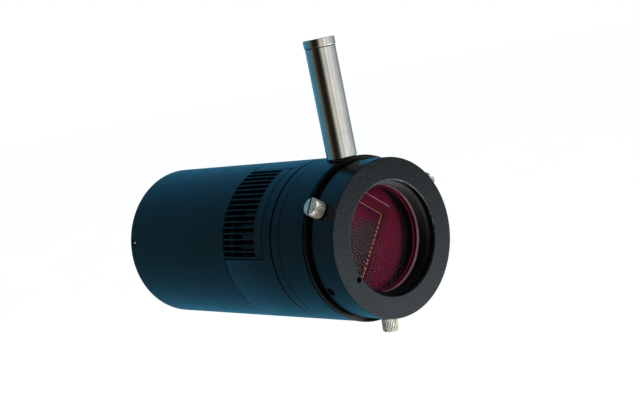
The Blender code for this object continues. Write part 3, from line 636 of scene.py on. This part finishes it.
def collar():
    """The adapter ring, with its screw holes, spanner hole, blasted face and worn mouth."""
    profile = [
        (COLLAR_R, 0), (COLLAR_R, COLLAR_LENGTH), (POCKET_R, COLLAR_LENGTH), (POCKET_R, POCKET_Y),
        (BORE_R, POCKET_Y), (BORE_R, MOUTH_CHAMFER), (BORE_R + MOUTH_CHAMFER, 0)]
    ring = lathe("collar", profile, optical(), MATTE_BLACK, "collar", "adapter_ring", fillet=0.25 * MM)
    cutters = []
    for angles, y in ((LOCK_ANGLES, SCREW_Y), (GRUB_ANGLES, GRUB_Y)):
        for angle in angles:
            cutters.append(hole(SCREW_HOLE_R, POCKET_R - MM, COLLAR_R, radial(angle, y), HOLE_FLARE))
    pin = radians(GRUB_ANGLES[1])
    face = Matrix.Translation((PIN_HOLE_REACH * cos(pin), 0, PIN_HOLE_REACH * sin(pin))) @ optical()
    face = face @ Matrix.Rotation(pi, 4, 'X')
    cutters.append(hole(PIN_HOLE_R, -PIN_HOLE_DEPTH, 0, face, HOLE_FLARE))
    carve(ring, cutters)

    edge = MOUTH_CHAMFER + 0.05 * MM

    def in_front(polygon):
        return polygon.center.y < edge and polygon.normal.y < -0.2

    paint(ring, FACE_BLACK, in_front)
    paint(ring, WORN_EDGE, lambda polygon: in_front(polygon) and polygon.center.xz.length <= BORE_R + edge)


def telescope_thread():
    """Threaded bore behind the collar's mouth."""
    turns = int((POCKET_Y - THREAD_START_Y) / THREAD_PITCH)
    skin, front_y = 0.05 * MM, THREAD_START_Y - 0.4 * MM
    profile = [(BORE_R + skin, front_y), (BORE_R + skin, POCKET_Y), (THREAD_R, POCKET_Y)]
    for turn in range(turns, 0, -1):
        y = THREAD_START_Y + turn * THREAD_PITCH
        profile += [(THREAD_R, y), (THREAD_CREST_R, y - THREAD_PITCH * 0.45),
                    (THREAD_CREST_R, y - THREAD_PITCH * 0.6)]
    profile += [(THREAD_R, THREAD_START_Y), (BORE_R - skin, front_y)]
    sleeve = lathe("telescope_thread", profile, optical(), INNER_BLACK, "collar", fillet=0.05 * MM)


def knurled_mesh(place):
    """A drum with a straight knurl and a chamfer at each end."""
    teeth, depth, chamfer = 30, 0.22 * MM, 0.45 * MM
    levels = [(LOCK_BASE, chamfer, 0), (LOCK_BASE + chamfer * 0.7, 0, 1), (LOCK_TOP - chamfer, 0, 1),
              (LOCK_TOP - 0.1 * MM, chamfer * 0.9, 0), (LOCK_TOP, chamfer * 1.4, 0)]
    steps = teeth * 4
    verts, faces = [], []
    for height, inset, knurl in levels:
        for step in range(steps):
            turn = 2 * pi * step / steps
            tooth = (0, 0.7, 1, 0.7)[step % 4]
            radius = LOCK_R - inset - (1 - tooth) * depth * knurl
            verts.append(place @ Vector((radius * cos(turn), radius * sin(turn), height)))
    for level in range(len(levels) - 1):
        for step in range(steps):
            on = (step + 1) % steps
            faces.append([level * steps + step, level * steps + on, (level + 1) * steps + on,
                          (level + 1) * steps + step])
    faces.append(list(reversed(range(steps))))
    faces.append([(len(levels) - 1) * steps + step for step in range(steps)])
    mesh = bpy.data.meshes.new("lock_head")
    mesh.from_pydata(verts, [], faces)
    return mesh


def knurled_head(number, angle):
    """Thumb head with a screwdriver slot whose floor and walls carry painted shade, and the stud's socket."""
    place = radial(angle, SCREW_Y)
    body, node = f"lock_head_{number}", f"lock_screw_head_{number}"
    head = finished(f"thumb_head_{number}", knurled_mesh(place), NICKEL, body, node)
    slot_place = place @ Matrix.Rotation(radians(LOCK_SLOT_TURNS[number - 1]), 4, 'Z')
    slot_size = (10 * MM, LOCK_SLOT_WIDTH, 2 * LOCK_SLOT_DEPTH)
    slot = boxes_mesh("slot", [((0, 0, LOCK_TOP), slot_size)], slot_place)
    socket = hole(SCREW_HOLE_R, LOCK_BASE - MM, LOCK_BASE + 1.9 * MM, place)
    carve(head, [slot, socket])
    into_slot = slot_place.inverted()
    slack = 0.01 * MM

    def in_slot(polygon):
        centre = into_slot @ polygon.center
        deep = LOCK_TOP - LOCK_SLOT_DEPTH - slack < centre.z < LOCK_TOP - 5 * slack
        return deep and abs(centre.y) < LOCK_SLOT_WIDTH / 2 + slack

    # Painted shade: the slot's floor and walls take a dark brown finish.
    paint(head, SLOT_SHADE, in_slot)


# Sensor chamber

def chamber_housing():
    """Dovetail flange, rim with a fine groove behind it, chamber wall and the port's spot face."""
    neck_y = COLLAR_LENGTH + GAP
    lip_r, groove_r = BODY_R + 0.2 * MM, BODY_R - 0.5 * MM
    lip_y, lip_end_y, groove_end_y = RIM_Y + 0.3 * MM, RIM_Y + 0.7 * MM, RIM_Y + 1.75 * MM
    slope = 0.05 * MM
    profile = [
        (FLANGE_R, FLANGE_Y), (FLANGE_R, DOVETAIL_Y - DOVETAIL_HALF), (DOVETAIL_R, DOVETAIL_Y),
        (FLANGE_R, DOVETAIL_Y + DOVETAIL_HALF), (FLANGE_R, neck_y), (NECK_R, neck_y), (NECK_R, RIM_Y),
        (BODY_R - 2 * slope, RIM_Y), (lip_r, lip_y), (lip_r, lip_end_y), (groove_r, lip_end_y + slope),
        (groove_r, groove_end_y), (BODY_R, groove_end_y + slope),
        (BODY_R, HOUSING_END_Y), (BACK_SEAT_R, HOUSING_END_Y), (BACK_SEAT_R, BACK_SEAT_Y),
        (CHAMBER_R, BACK_SEAT_Y), (CHAMBER_R, CELL_SEAT_Y), (CELL_SEAT_R, CELL_SEAT_Y),
        (CELL_SEAT_R, FLANGE_Y)]
    housing = lathe("housing", profile, optical(), BODY_BLACK, "camera", "chamber_housing", fillet=0.08 * MM)
    spot = hole(SPOT_FACE_R, SPOT_FACE_Z, 36 * MM, TUBE_PLACE, segments=MEDIUM)
    port = hole(STEM_R + GAP, 20 * MM, 36 * MM, TUBE_PLACE)
    carve(housing, [spot, port])
    wall_r = CHAMBER_R + 2 * MM
    paint(housing, INNER_BLACK, lambda polygon: polygon.normal.y < -0.5 or polygon.center.y < RIM_Y)
    paint(housing, CHAMBER_BLACK,
          lambda polygon: polygon.center.y > CELL_SEAT_Y and polygon.center.xz.length < wall_r)


def window():
    """Cell, coated glass and its ground bevel."""
    front_y = GLASS_FRONT_Y - GAP
    recess_r = GLASS_R + 0.35 * MM
    lip_r, lip_y = 20.2 * MM, CELL_END_Y - MM
    profile = [
        (CELL_R - GAP, front_y), (CELL_R, GLASS_FRONT_Y), (CELL_R, CELL_END_Y), (lip_r, CELL_END_Y),
        (lip_r, lip_y), (recess_r, lip_y), (recess_r, GLASS_FRONT_Y), (recess_r + GAP, front_y)]
    lathe("window_holder", profile, optical(), INNER_BLACK, "camera", "window_cell", fillet=0.1 * MM)
    edge_r = GLASS_R - 0.02 * MM
    pane = [(0, GLASS_FRONT_Y), (edge_r, GLASS_FRONT_Y), (edge_r, GLASS_REAR_Y), (0, GLASS_REAR_Y)]
    glass = lathe("window_pane", pane, optical(), GLASS, "camera", "window_glass", fillet=0.0)
    glass.visible_shadow = False

    rim_y = GLASS_FRONT_Y + 0.04 * MM
    bevel_y, rim_end_y = GLASS_FRONT_Y + 0.9 * MM, GLASS_FRONT_Y + MM
    outer_r, inner_r = GLASS_R + 0.2 * MM, GLASS_R - 0.28 * MM
    rim = [(outer_r, rim_y), (outer_r, rim_end_y), (inner_r, rim_end_y), (inner_r, bevel_y), (edge_r, rim_y)]
    band = lathe("window_bevel", rim, optical(), GROUND_GLASS, "camera", fillet=0.02 * MM)


def sensor():
    """Ceramic package with painted highlights along its long edges, and the die with its image area."""
    place = optical(GRILLE_ANGLE)
    depth = PACKAGE_END_Y - PACKAGE_Y
    package = boxes_mesh("package", [((0, 0, PACKAGE_Y + depth / 2), (PACKAGE_SHORT, PACKAGE_LONG, depth))],
                         place, 0.15 * MM)
    body = finished("sensor_body", package, CERAMIC, "camera", "sensor_package")
    recess = ((0, 0, PACKAGE_Y), (RECESS_SHORT, RECESS_LONG, 2.4 * MM))
    carve(body, [boxes_mesh("recess", [recess], place)])

    chip = ((0, 0, (DIE_Y + DIE_END_Y) / 2), (DIE_SHORT, DIE_LONG, DIE_END_Y - DIE_Y))
    finished("sensor_chip", boxes_mesh("chip", [chip], place, 0.03 * MM), CHIP_EDGE, "camera", "sensor_die")
    image = ((0, 0, DIE_Y), (IMAGE_SHORT - 1.2 * MM, IMAGE_LONG, 0.03 * MM))
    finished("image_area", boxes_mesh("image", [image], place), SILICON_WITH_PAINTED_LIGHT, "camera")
    bond_pads(place)

    # Painted highlight: thin white strips along the package's long edges stand for the light on those edges.
    highlight_width, film = 0.18 * MM, 0.05 * MM
    edge = []
    for side in (-1, 1):
        edge.append(((0, side * (PACKAGE_LONG / 2 - 0.1 * MM), PACKAGE_Y - 0.01 * MM),
                     (PACKAGE_SHORT - 3 * MM, highlight_width, film)))
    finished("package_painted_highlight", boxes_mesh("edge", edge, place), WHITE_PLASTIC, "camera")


def bond_pads(place):
    """Gold line round the die's short sides and corners, and pads along its long sides."""
    line, film, corner = 0.2 * MM, 0.05 * MM, 3.6 * MM
    count, pitch, pad_size = 12, 1.75 * MM, (0.7 * MM, 0.62 * MM, 0.1 * MM)
    rng = random.Random(8)
    gold = []
    for side in (-1, 1):
        edge_x, edge_y = side * (DIE_SHORT / 2 - line), side * (DIE_LONG / 2 - line)
        gold.append(((0, edge_y, DIE_Y), (DIE_SHORT - line, line, film)))
        for end in (-1, 1):
            gold.append(((edge_x, end * (DIE_LONG - corner) / 2, DIE_Y), (line, corner - line, film)))
        for pad in range(count):
            y = (pad - (count - 1) / 2 + rng.uniform(-0.12, 0.12)) * pitch
            gold.append(((edge_x, y, DIE_Y - 0.03 * MM), pad_size))
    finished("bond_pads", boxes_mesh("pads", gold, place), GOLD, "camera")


def sensor_board():
    """Round board behind the sensor, with small components round the package."""
    rng = random.Random(11)
    place, board_r = optical(GRILLE_ANGLE), 26.8 * MM
    profile = [(0, BOARD_Y), (board_r, BOARD_Y), (board_r, BOARD_END_Y), (0, BOARD_END_Y)]
    lathe("detector_board", profile, place, SENSOR_BOARD, "camera", "sensor_board", MEDIUM)
    chips = []
    for _ in range(70):
        reach, turn = rng.uniform(14, 24) * MM, rng.uniform(0, 2 * pi)
        x, y = reach * cos(turn), reach * sin(turn)
        if abs(x) < PACKAGE_SHORT / 2 + MM and abs(y) < PACKAGE_LONG / 2 + MM:
            continue
        size = rng.choice([(1.0, 0.5, 0.4), (0.5, 1.0, 0.4), (1.6, 0.8, 0.5), (0.6, 0.6, 0.3)])
        chips.append(((x, y, BOARD_Y - size[2] / 2 * MM), tuple(part * MM for part in size)))
    parts = finished("board_parts", boxes_mesh("parts", chips, place, 0.05 * MM), CERAMIC, "camera")


def chamber_back():
    """Cooling flange with a black seam groove before the vented shell."""
    neck_y = BACK_END_Y - 0.7 * MM
    profile = [
        (BODY_R, BACK_FRONT_Y), (BODY_R, neck_y), (BACK_NECK_R, neck_y), (BACK_NECK_R, BACK_END_Y),
        (BACK_BORE_R, BACK_END_Y), (BACK_BORE_R, BACK_FRONT_Y)]
    flange = lathe("cooling_flange", profile, optical(), BODY_BLACK, "camera", "chamber_back",
                   fillet=0.1 * MM)
    paint(flange, INNER_BLACK, lambda polygon: polygon.center.y > neck_y - 0.05 * MM)


# Shells

def vent_shell():
    """Tube with two open windows that the grilles fill."""
    edge = GRILLE_HALF + 0.55
    cuts = sorted({(GRILLE_ANGLE + turn + side * edge) % 360 for turn in (0, 180) for side in (-1, 1)})
    angles = sorted(cuts + [cuts[0] + 360] + [cuts[0] + 2.0 * step for step in range(1, 180)])
    angles = [a for i, a in enumerate(angles) if i == 0 or a - angles[i - 1] > 1e-3]
    window_y = GRILLE_Y - GAP

    def keep(angle, y):
        off = min(abs((angle - GRILLE_ANGLE - turn + 180) % 360 - 180) for turn in (0, 180))
        return y < window_y or off > edge

    wrapped_shell("vented_shell", BODY_R, WALL, angles, [VENT_FRONT_Y, window_y, VENT_REAR_Y], keep,
                  BODY_BLACK, "vent_shell", 0.2 * MM)


def grille(name, middle):
    """Curved panel with lengthwise slots, open towards the seam."""
    half_slot = SLOT_WIDTH / BODY_R * 180 / pi / 2
    centres = [middle + (i - (SLOT_COUNT - 1) / 2) * SLOT_PITCH for i in range(SLOT_COUNT)]
    angles = [middle - GRILLE_HALF]
    for centre in centres:
        angles += [centre - half_slot, centre, centre + half_slot]
    angles.append(middle + GRILLE_HALF)

    def keep(angle, y):
        in_slot = min(abs(angle - centre) for centre in centres) < half_slot
        return y < SLOT_START_Y or not in_slot

    wrapped_shell(f"slotted_{name}", BODY_R, GRILLE_WALL, angles, [GRILLE_Y, SLOT_START_Y, VENT_REAR_Y],
                  keep, BODY_BLACK, name, 0.07 * MM)


def rear_shell():
    """Plain tube with a chamfered end and sinks for the cover screws."""
    chamfer = 0.5 * MM
    profile = [
        (BODY_R, REAR_FRONT_Y), (BODY_R, LENGTH - chamfer), (BODY_R - chamfer, LENGTH),
        (BODY_R - WALL, LENGTH), (BODY_R - WALL, REAR_FRONT_Y)]
    shell = lathe("rear_tube", profile, optical(), BODY_BLACK, "camera", "rear_shell", fillet=0.12 * MM)
    inside, outside = 29 * MM, 34 * MM
    sink = [(0, inside), (COVER_HOLE_R, inside), (COVER_HOLE_R, COVER_SEAT), (COVER_SINK_R, COVER_SEAT),
            (COVER_SINK_R, outside), (0, outside)]
    carve(shell, [lathe_mesh("sink", sink, radial(angle, COVER_SCREW_Y), SMALL) for angle in COVER_ANGLES])


def cover_screw(number, angle):
    """Slotted black screw with a slightly domed head, and a painted highlight in its slot: a pale box that
    stands for the slot's glint.
    """
    place = radial(angle, COVER_SCREW_Y)
    seat, top = COVER_SEAT + GAP, COVER_HEAD_TOP
    profile = [
        (0, COVER_SHANK_FOOT), (COVER_SHANK_R, COVER_SHANK_FOOT), (COVER_SHANK_R, seat), (COVER_HEAD_R, seat),
        (COVER_HEAD_R, top - 0.2 * MM), (0.9 * MM, top - 0.05 * MM), (0, top)]
    screw = lathe(f"rear_screw_{number}", profile, place, BLACK_STEEL, "camera", f"cover_screw_{number}",
                  SMALL, 0.08 * MM)
    slot_place = place @ Matrix.Rotation(radians(35), 4, 'Z')
    carve(screw, [boxes_mesh("slot", [((0, 0, top), (4 * MM, 0.4 * MM, 0.6 * MM))], slot_place)])
    # Painted highlight: a pale box sunk in the slot stands for a glint.
    bright = ((0, 0, top - 0.17 * MM), (1.4 * MM, 0.5 * MM, 0.14 * MM))
    glint = finished(f"rear_screw_slot_{number}", boxes_mesh("glint", [bright], slot_place), SLOT_GLINT,
                     "camera")


def rear_cover():
    """Cup-shaped cover with openings for the sockets and the lamp."""
    rim_r = COVER_R - COVER_RIM
    inner_y = COVER_REAR_Y - COVER_THICK
    profile = [(0, inner_y), (rim_r, inner_y), (rim_r, COVER_FRONT_Y), (COVER_R, COVER_FRONT_Y),
               (COVER_R, COVER_REAR_Y), (0, COVER_REAR_Y)]
    cover = lathe("end_cover", profile, optical(), BODY_BLACK, "camera", "rear_cover", fillet=0.25 * MM)
    cutters = [boxes_mesh("usb", [((USB_X, 0, LENGTH), (12.6 * MM, 11.6 * MM, 20 * MM))], optical())]
    for radius, x, z in ((JACK_R + GAP, JACK_X, 0), (1.8 * MM, 0, LED_Z)):
        cutters.append(hole(radius, 120 * MM, 138 * MM, Matrix.Translation((x, 0, z)) @ optical()))
    for angle in COVER_ANGLES:
        cutters.append(hole(COVER_HOLE_R, 25 * MM, 31 * MM, radial(angle, COVER_SCREW_Y)))
    carve(cover, cutters)


def usb_socket():
    """Metal shell, with a white tongue and its contacts."""
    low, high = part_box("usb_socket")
    place = optical()
    middle_y = (low.y + high.y) / 2
    size = (high.x - low.x, high.z - low.z, high.y - low.y)
    shell = finished("usb_shell", boxes_mesh("usb", [((USB_X, 0, middle_y), size)], place, 0.4 * MM),
                     ALUMINIUM, "camera", "usb_socket")
    mouth_y, beyond_y = LENGTH - SOCKET_DEPTH, LENGTH + MM
    mouth = ((USB_X, 0, (mouth_y + beyond_y) / 2), (8.6 * MM, 7.8 * MM, beyond_y - mouth_y))
    carve(shell, [boxes_mesh("mouth", [mouth], place)])
    tongue = ((USB_X, 0, LENGTH - 5.5 * MM), (5.6 * MM, 3.2 * MM, 7.4 * MM))
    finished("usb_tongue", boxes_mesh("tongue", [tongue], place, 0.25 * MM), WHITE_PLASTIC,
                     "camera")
    contacts = []
    for side in (-1, 1):
        for x in (-1.25 * MM, 1.25 * MM):
            contacts.append(((USB_X + x, side * 1.62 * MM, LENGTH - 5.2 * MM), (1.0 * MM, 0.12 * MM, 6 * MM)))
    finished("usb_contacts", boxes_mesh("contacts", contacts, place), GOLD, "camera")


def power_socket():
    """Round barrel socket with its centre pin."""
    place = Matrix.Translation((JACK_X, 0, 0)) @ optical()
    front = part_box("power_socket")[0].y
    mouth_y = LENGTH - SOCKET_DEPTH
    seat_r = JACK_PIN_R + 0.1 * MM
    profile = [
        (0, front), (JACK_R, front), (JACK_R, LENGTH), (JACK_MOUTH_R, LENGTH), (JACK_MOUTH_R, mouth_y),
        (seat_r, mouth_y), (0, mouth_y)]
    lathe("jack_barrel", profile, place, BLACK_PLASTIC, "camera", "power_socket", MEDIUM, 0.2 * MM)
    pin = [(0, mouth_y), (JACK_PIN_R, mouth_y), (JACK_PIN_R, LENGTH - 1.8 * MM),
           (0.6 * MM, LENGTH - 1.4 * MM), (0, LENGTH - 1.3 * MM)]
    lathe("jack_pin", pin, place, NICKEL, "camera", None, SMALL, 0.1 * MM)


def status_lamp():
    """Small domed lens above the sockets."""
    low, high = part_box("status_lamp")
    place = Matrix.Translation((0, 0, LED_Z)) @ optical()
    lamp_r = high.x
    profile = [(0, low.y), (lamp_r, low.y), (lamp_r, high.y - 0.7 * MM), (lamp_r * 0.75, high.y - 0.2 * MM),
               (lamp_r * 0.35, high.y), (0, high.y)]
    lathe("lamp_lens", profile, place, LED_LENS, "camera", "status_lamp", SMALL, 0.1 * MM)


# Drying tube

def drying_tube():
    """Steel tube with two spanner flats above its shoulder."""
    chamfer, shoulder_chamfer = 0.4 * MM, 0.2 * MM
    gas_r, gas_z, bore_z = 2.0 * MM, 35.5 * MM, 36.5 * MM
    profile = [
        (STEM_R - chamfer, TUBE_FOOT_Z), (STEM_R, TUBE_FOOT_Z + chamfer), (STEM_R, SHOULDER_Z),
        (TUBE_R - shoulder_chamfer, SHOULDER_Z), (TUBE_R, SHOULDER_Z + shoulder_chamfer),
        (TUBE_R, TUBE_TOP_Z), (TUBE_BORE_R, TUBE_TOP_Z), (TUBE_BORE_R, bore_z), (gas_r, gas_z),
        (gas_r, TUBE_FOOT_Z)]
    tube = lathe("steel_tube", profile, TUBE_PLACE, STAINLESS, "drying_tube", "drying_tube", FINE, 0.12 * MM)
    width, depth = 14 * MM, 4 * MM
    flats = []
    for side in (-1, 1):
        centre = (0, side * (TUBE_FLAT_HALF + depth / 2), (TUBE_FLAT_LOW_Z + TUBE_FLAT_HIGH_Z) / 2)
        size = (width, depth, TUBE_FLAT_HIGH_Z - TUBE_FLAT_LOW_Z)
        flats.append(boxes_mesh("flat", [(centre, size)], TUBE_PLACE))
    carve(tube, flats)


def tube_cap():
    """Cap on an O-ringed plug, with a thin black rubber ring under its edge as painted shade in the joint."""
    edge_z = TUBE_TOP_Z + 0.35 * MM
    profile = [
        (0, CAP_FOOT_Z), (PLUG_R, CAP_FOOT_Z), (PLUG_R, PLUG_GROOVE_LOW), (PLUG_GROOVE_R, PLUG_GROOVE_LOW),
        (PLUG_GROOVE_R, PLUG_GROOVE_HIGH), (PLUG_R, PLUG_GROOVE_HIGH), (PLUG_R, edge_z), (CAP_R, edge_z),
        (CAP_R, CAP_TOP_Z), (0, CAP_TOP_Z)]
    lathe("steel_cap", profile, TUBE_PLACE, STAINLESS, "tube_cap", "tube_cap", FINE, 0.12 * MM)
    # Painted shade: a black rubber ring fills the joint under the cap's edge, in place of the shade in the
    # gap between tube and cap.
    outer_r, inner_r = TUBE_R - 0.1 * MM, PLUG_R - 0.1 * MM
    low, high = TUBE_TOP_Z + 0.06 * MM, edge_z + 0.02 * MM
    joint_shade = [(outer_r, low), (outer_r, high), (inner_r, high), (inner_r, low)]
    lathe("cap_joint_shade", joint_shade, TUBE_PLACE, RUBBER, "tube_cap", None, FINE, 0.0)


def tube_seal():
    """O-ring under the tube's shoulder."""
    thickness, sides = 0.3 * MM, 16
    middle_r = SEAL_OUTER_R - thickness
    steps = [2 * pi * i / sides for i in range(sides)]
    profile = [(middle_r + thickness * cos(t), SEAL_Z + thickness * sin(t)) for t in steps]
    lathe("foot_seal", profile, TUBE_PLACE, RUBBER, "tube_carrier", "tube_seal", MEDIUM, 0.0)


# Studio

def camera():
    """Camera at the photo's place and angle; the lens sees a 36 mm wide frame."""
    azimuth, elevation, roll = radians(VIEW_AZIMUTH), radians(VIEW_ELEVATION), radians(VIEW_ROLL)
    back = Vector((sin(azimuth) * cos(elevation), -cos(azimuth) * cos(elevation), sin(elevation)))
    level_right = Vector((0, 0, 1)).cross(back).normalized()
    level_up = back.cross(level_right)
    right = level_right * cos(roll) + level_up * sin(roll)
    up = back.cross(right)
    data = bpy.data.cameras.new("camera")
    data.lens = LENS
    data.sensor_width = 36
    data.clip_start, data.clip_end = 0.01, 20
    obj = new_object("camera", data)
    turn = Matrix((right, up, back)).transposed().to_4x4()
    obj.matrix_world = Matrix.Translation(CAMERA_PLACE) @ turn
    bpy.context.scene.camera = obj


def floor():
    """Pale disc below the camera, a little luminous so that it meets the white room."""
    bm = bmesh.new()
    bmesh.ops.create_circle(bm, cap_ends=True, segments=96, radius=6.0,
                            matrix=Matrix.Translation((0, 0, cad_low.z - FLOOR_DROP)))
    mesh = mesh_of("floor", bm)
    recipe = Recipe("floor_paper", (0.92, 0.92, 0.92), 0.9, Emission_Color=(1, 1, 1, 1),
                    Emission_Strength=0.30)
    recipe.clouded("Base Color", 12, 2, 0.91, 0.93)
    mesh.materials.append(recipe.material)
    obj = new_object("floor", mesh)
    obj.visible_glossy = False


class Room(Nodes):
    """The world's node tree."""

    def between(self, value, low, high):
        """0 at low to 1 at high."""
        node = self.add("MapRange")
        node.interpolation_type = 'SMOOTHSTEP'
        node.inputs["From Min"].default_value = low
        node.inputs["From Max"].default_value = high
        self.link(value, node.inputs["Value"])
        return node.outputs["Result"]

    def mixed(self, factor, first, second):
        """Two colours mixed by a factor."""
        node = self.add("Mix")
        node.data_type = 'RGBA'
        for socket, value in zip((0, 6, 7), (factor, first, second)):
            self.link(value, node.inputs[socket])
        return node.outputs[2]

    def background(self, level):
        """A white background of that strength."""
        node = self.add("Background")
        node.inputs["Color"].default_value = (1, 1, 1, 1)
        node.inputs["Strength"].default_value = level
        return node.outputs[0]

    def choose(self, switch, off, on):
        """One shader or the other."""
        node = self.add("MixShader")
        for socket, value in zip(node.inputs, (switch, off, on)):
            self.link(value, socket)
        return node.outputs[0]

    def reflections(self):
        """What shiny surfaces see: three layers of colour round the horizon, mixed by height.

        The ramps run from -Y through -X, +Y and +X back to -Y.
        """
        parts = self.parts(self.add("TexCoord").outputs["Generated"])
        azimuth = self.maths('ARCTAN2', parts["X"], parts["Y"])
        share = self.maths('ADD', self.maths('DIVIDE', azimuth, 2 * pi), 0.5)
        level = self.ramp(
            share,
            (0.000, (1.45, 1.45, 1.42)), (0.040, (0.62, 0.63, 0.60)), (0.095, (0.85, 0.84, 0.76)),
            (0.130, (0.20, 0.19, 0.15)), (0.160, (0.016, 0.014, 0.010)), (0.250, (0.020, 0.016, 0.012)),
            (0.290, (0.11, 0.10, 0.075)), (0.345, (0.12, 0.22, 0.24)), (0.400, (0.065, 0.23, 0.33)),
            (0.500, (0.085, 0.36, 0.58)), (0.620, (0.09, 0.38, 0.62)), (0.720, (0.24, 0.30, 0.32)),
            (0.800, (0.55, 0.58, 0.56)), (0.880, (0.75, 0.77, 0.77)), (0.925, (1.00, 1.04, 1.05)),
            (0.970, (0.90, 0.94, 0.95)))
        below = self.ramp(
            share,
            (0.000, (2.6, 2.7, 2.75)), (0.110, (1.4, 1.4, 1.35)), (0.180, 0.05),
            (0.300, (0.06, 0.08, 0.09)), (0.380, (0.07, 0.25, 0.37)), (0.500, (0.08, 0.36, 0.58)),
            (0.640, (0.09, 0.42, 0.66)), (0.740, (0.5, 0.7, 0.8)), (0.830, (4.0, 4.3, 4.4)),
            (0.890, (6.4, 6.8, 7.0)), (0.940, (4.0, 4.2, 4.3)), (0.970, (2.8, 2.9, 2.95)))
        above = self.ramp(
            share,
            (0.000, 0.20), (0.110, (0.12, 0.12, 0.11)), (0.160, (0.016, 0.014, 0.010)),
            (0.250, (0.020, 0.016, 0.012)), (0.290, (0.08, 0.08, 0.075)), (0.400, (0.065, 0.23, 0.33)),
            (0.500, (0.060, 0.29, 0.52)), (0.620, (0.065, 0.32, 0.56)), (0.720, (0.10, 0.25, 0.34)),
            (0.800, (0.12, 0.16, 0.18)), (0.900, (0.14, 0.15, 0.15)))
        downward = self.maths('MULTIPLY', parts["Z"], -1.0)
        room = self.mixed(self.between(downward, 0.10, 0.32), level, below)
        return self.mixed(self.between(parts["Z"], 0.03, 0.20), room, above)


def studio_world():
    """White room for the eye and for soft light; reflections see a blue-green room with one
    dark side and a broad white window to the right of the camera."""
    world = bpy.data.worlds.new("studio")
    bpy.context.scene.world = world
    world.use_nodes = True
    room = Room(world.node_tree)
    room.tree.nodes.clear()
    mirrored = room.add("Background")
    room.link(room.reflections(), mirrored.inputs["Color"])
    path = room.add("LightPath").outputs
    lit = room.choose(path["Is Diffuse Ray"], mirrored.outputs[0], room.background(0.8))
    shown = room.choose(path["Is Camera Ray"], lit, room.background(1.0))
    room.link(shown, room.add("OutputWorld").inputs["Surface"])


def soft_light(name, place, target, size, power, mirrored=True):
    """Round area light that points at a target."""
    data = bpy.data.lights.new(name, 'AREA')
    data.shape = 'DISK'
    data.size = size
    data.energy = power
    obj = new_object(name, data)
    obj.location = place
    obj.rotation_mode = 'QUATERNION'
    obj.rotation_quaternion = (Vector(target) - Vector(place)).to_track_quat('-Z', 'Y')
    obj.visible_glossy = mirrored


def studio():
    """Camera, floor, room and lights."""
    bpy.context.scene.view_settings.view_transform = 'Standard'
    camera()
    floor()
    studio_world()
    soft_light("window_fill", (-0.30, -0.52, 0.14), (0, 0.02, 0), 0.16, 0.9, mirrored=False)
    soft_light("window_glance", (0.592, -0.706, -0.166), (-0.018, 0.008, 0), 0.09, 0.03)


studio()
dress_cad_nodes()
collar()
telescope_thread()
for index, direction in enumerate(LOCK_ANGLES):
    knurled_head(index + 1, direction)
chamber_housing()
window()
sensor()
sensor_board()
chamber_back()
vent_shell()
grille("grille_left", GRILLE_ANGLE)
grille("grille_right", GRILLE_ANGLE + 180)
rear_shell()
for index, direction in enumerate(COVER_ANGLES):
    cover_screw(index + 1, direction)
rear_cover()
usb_socket()
power_socket()
status_lamp()
drying_tube()
tube_cap()
tube_seal()
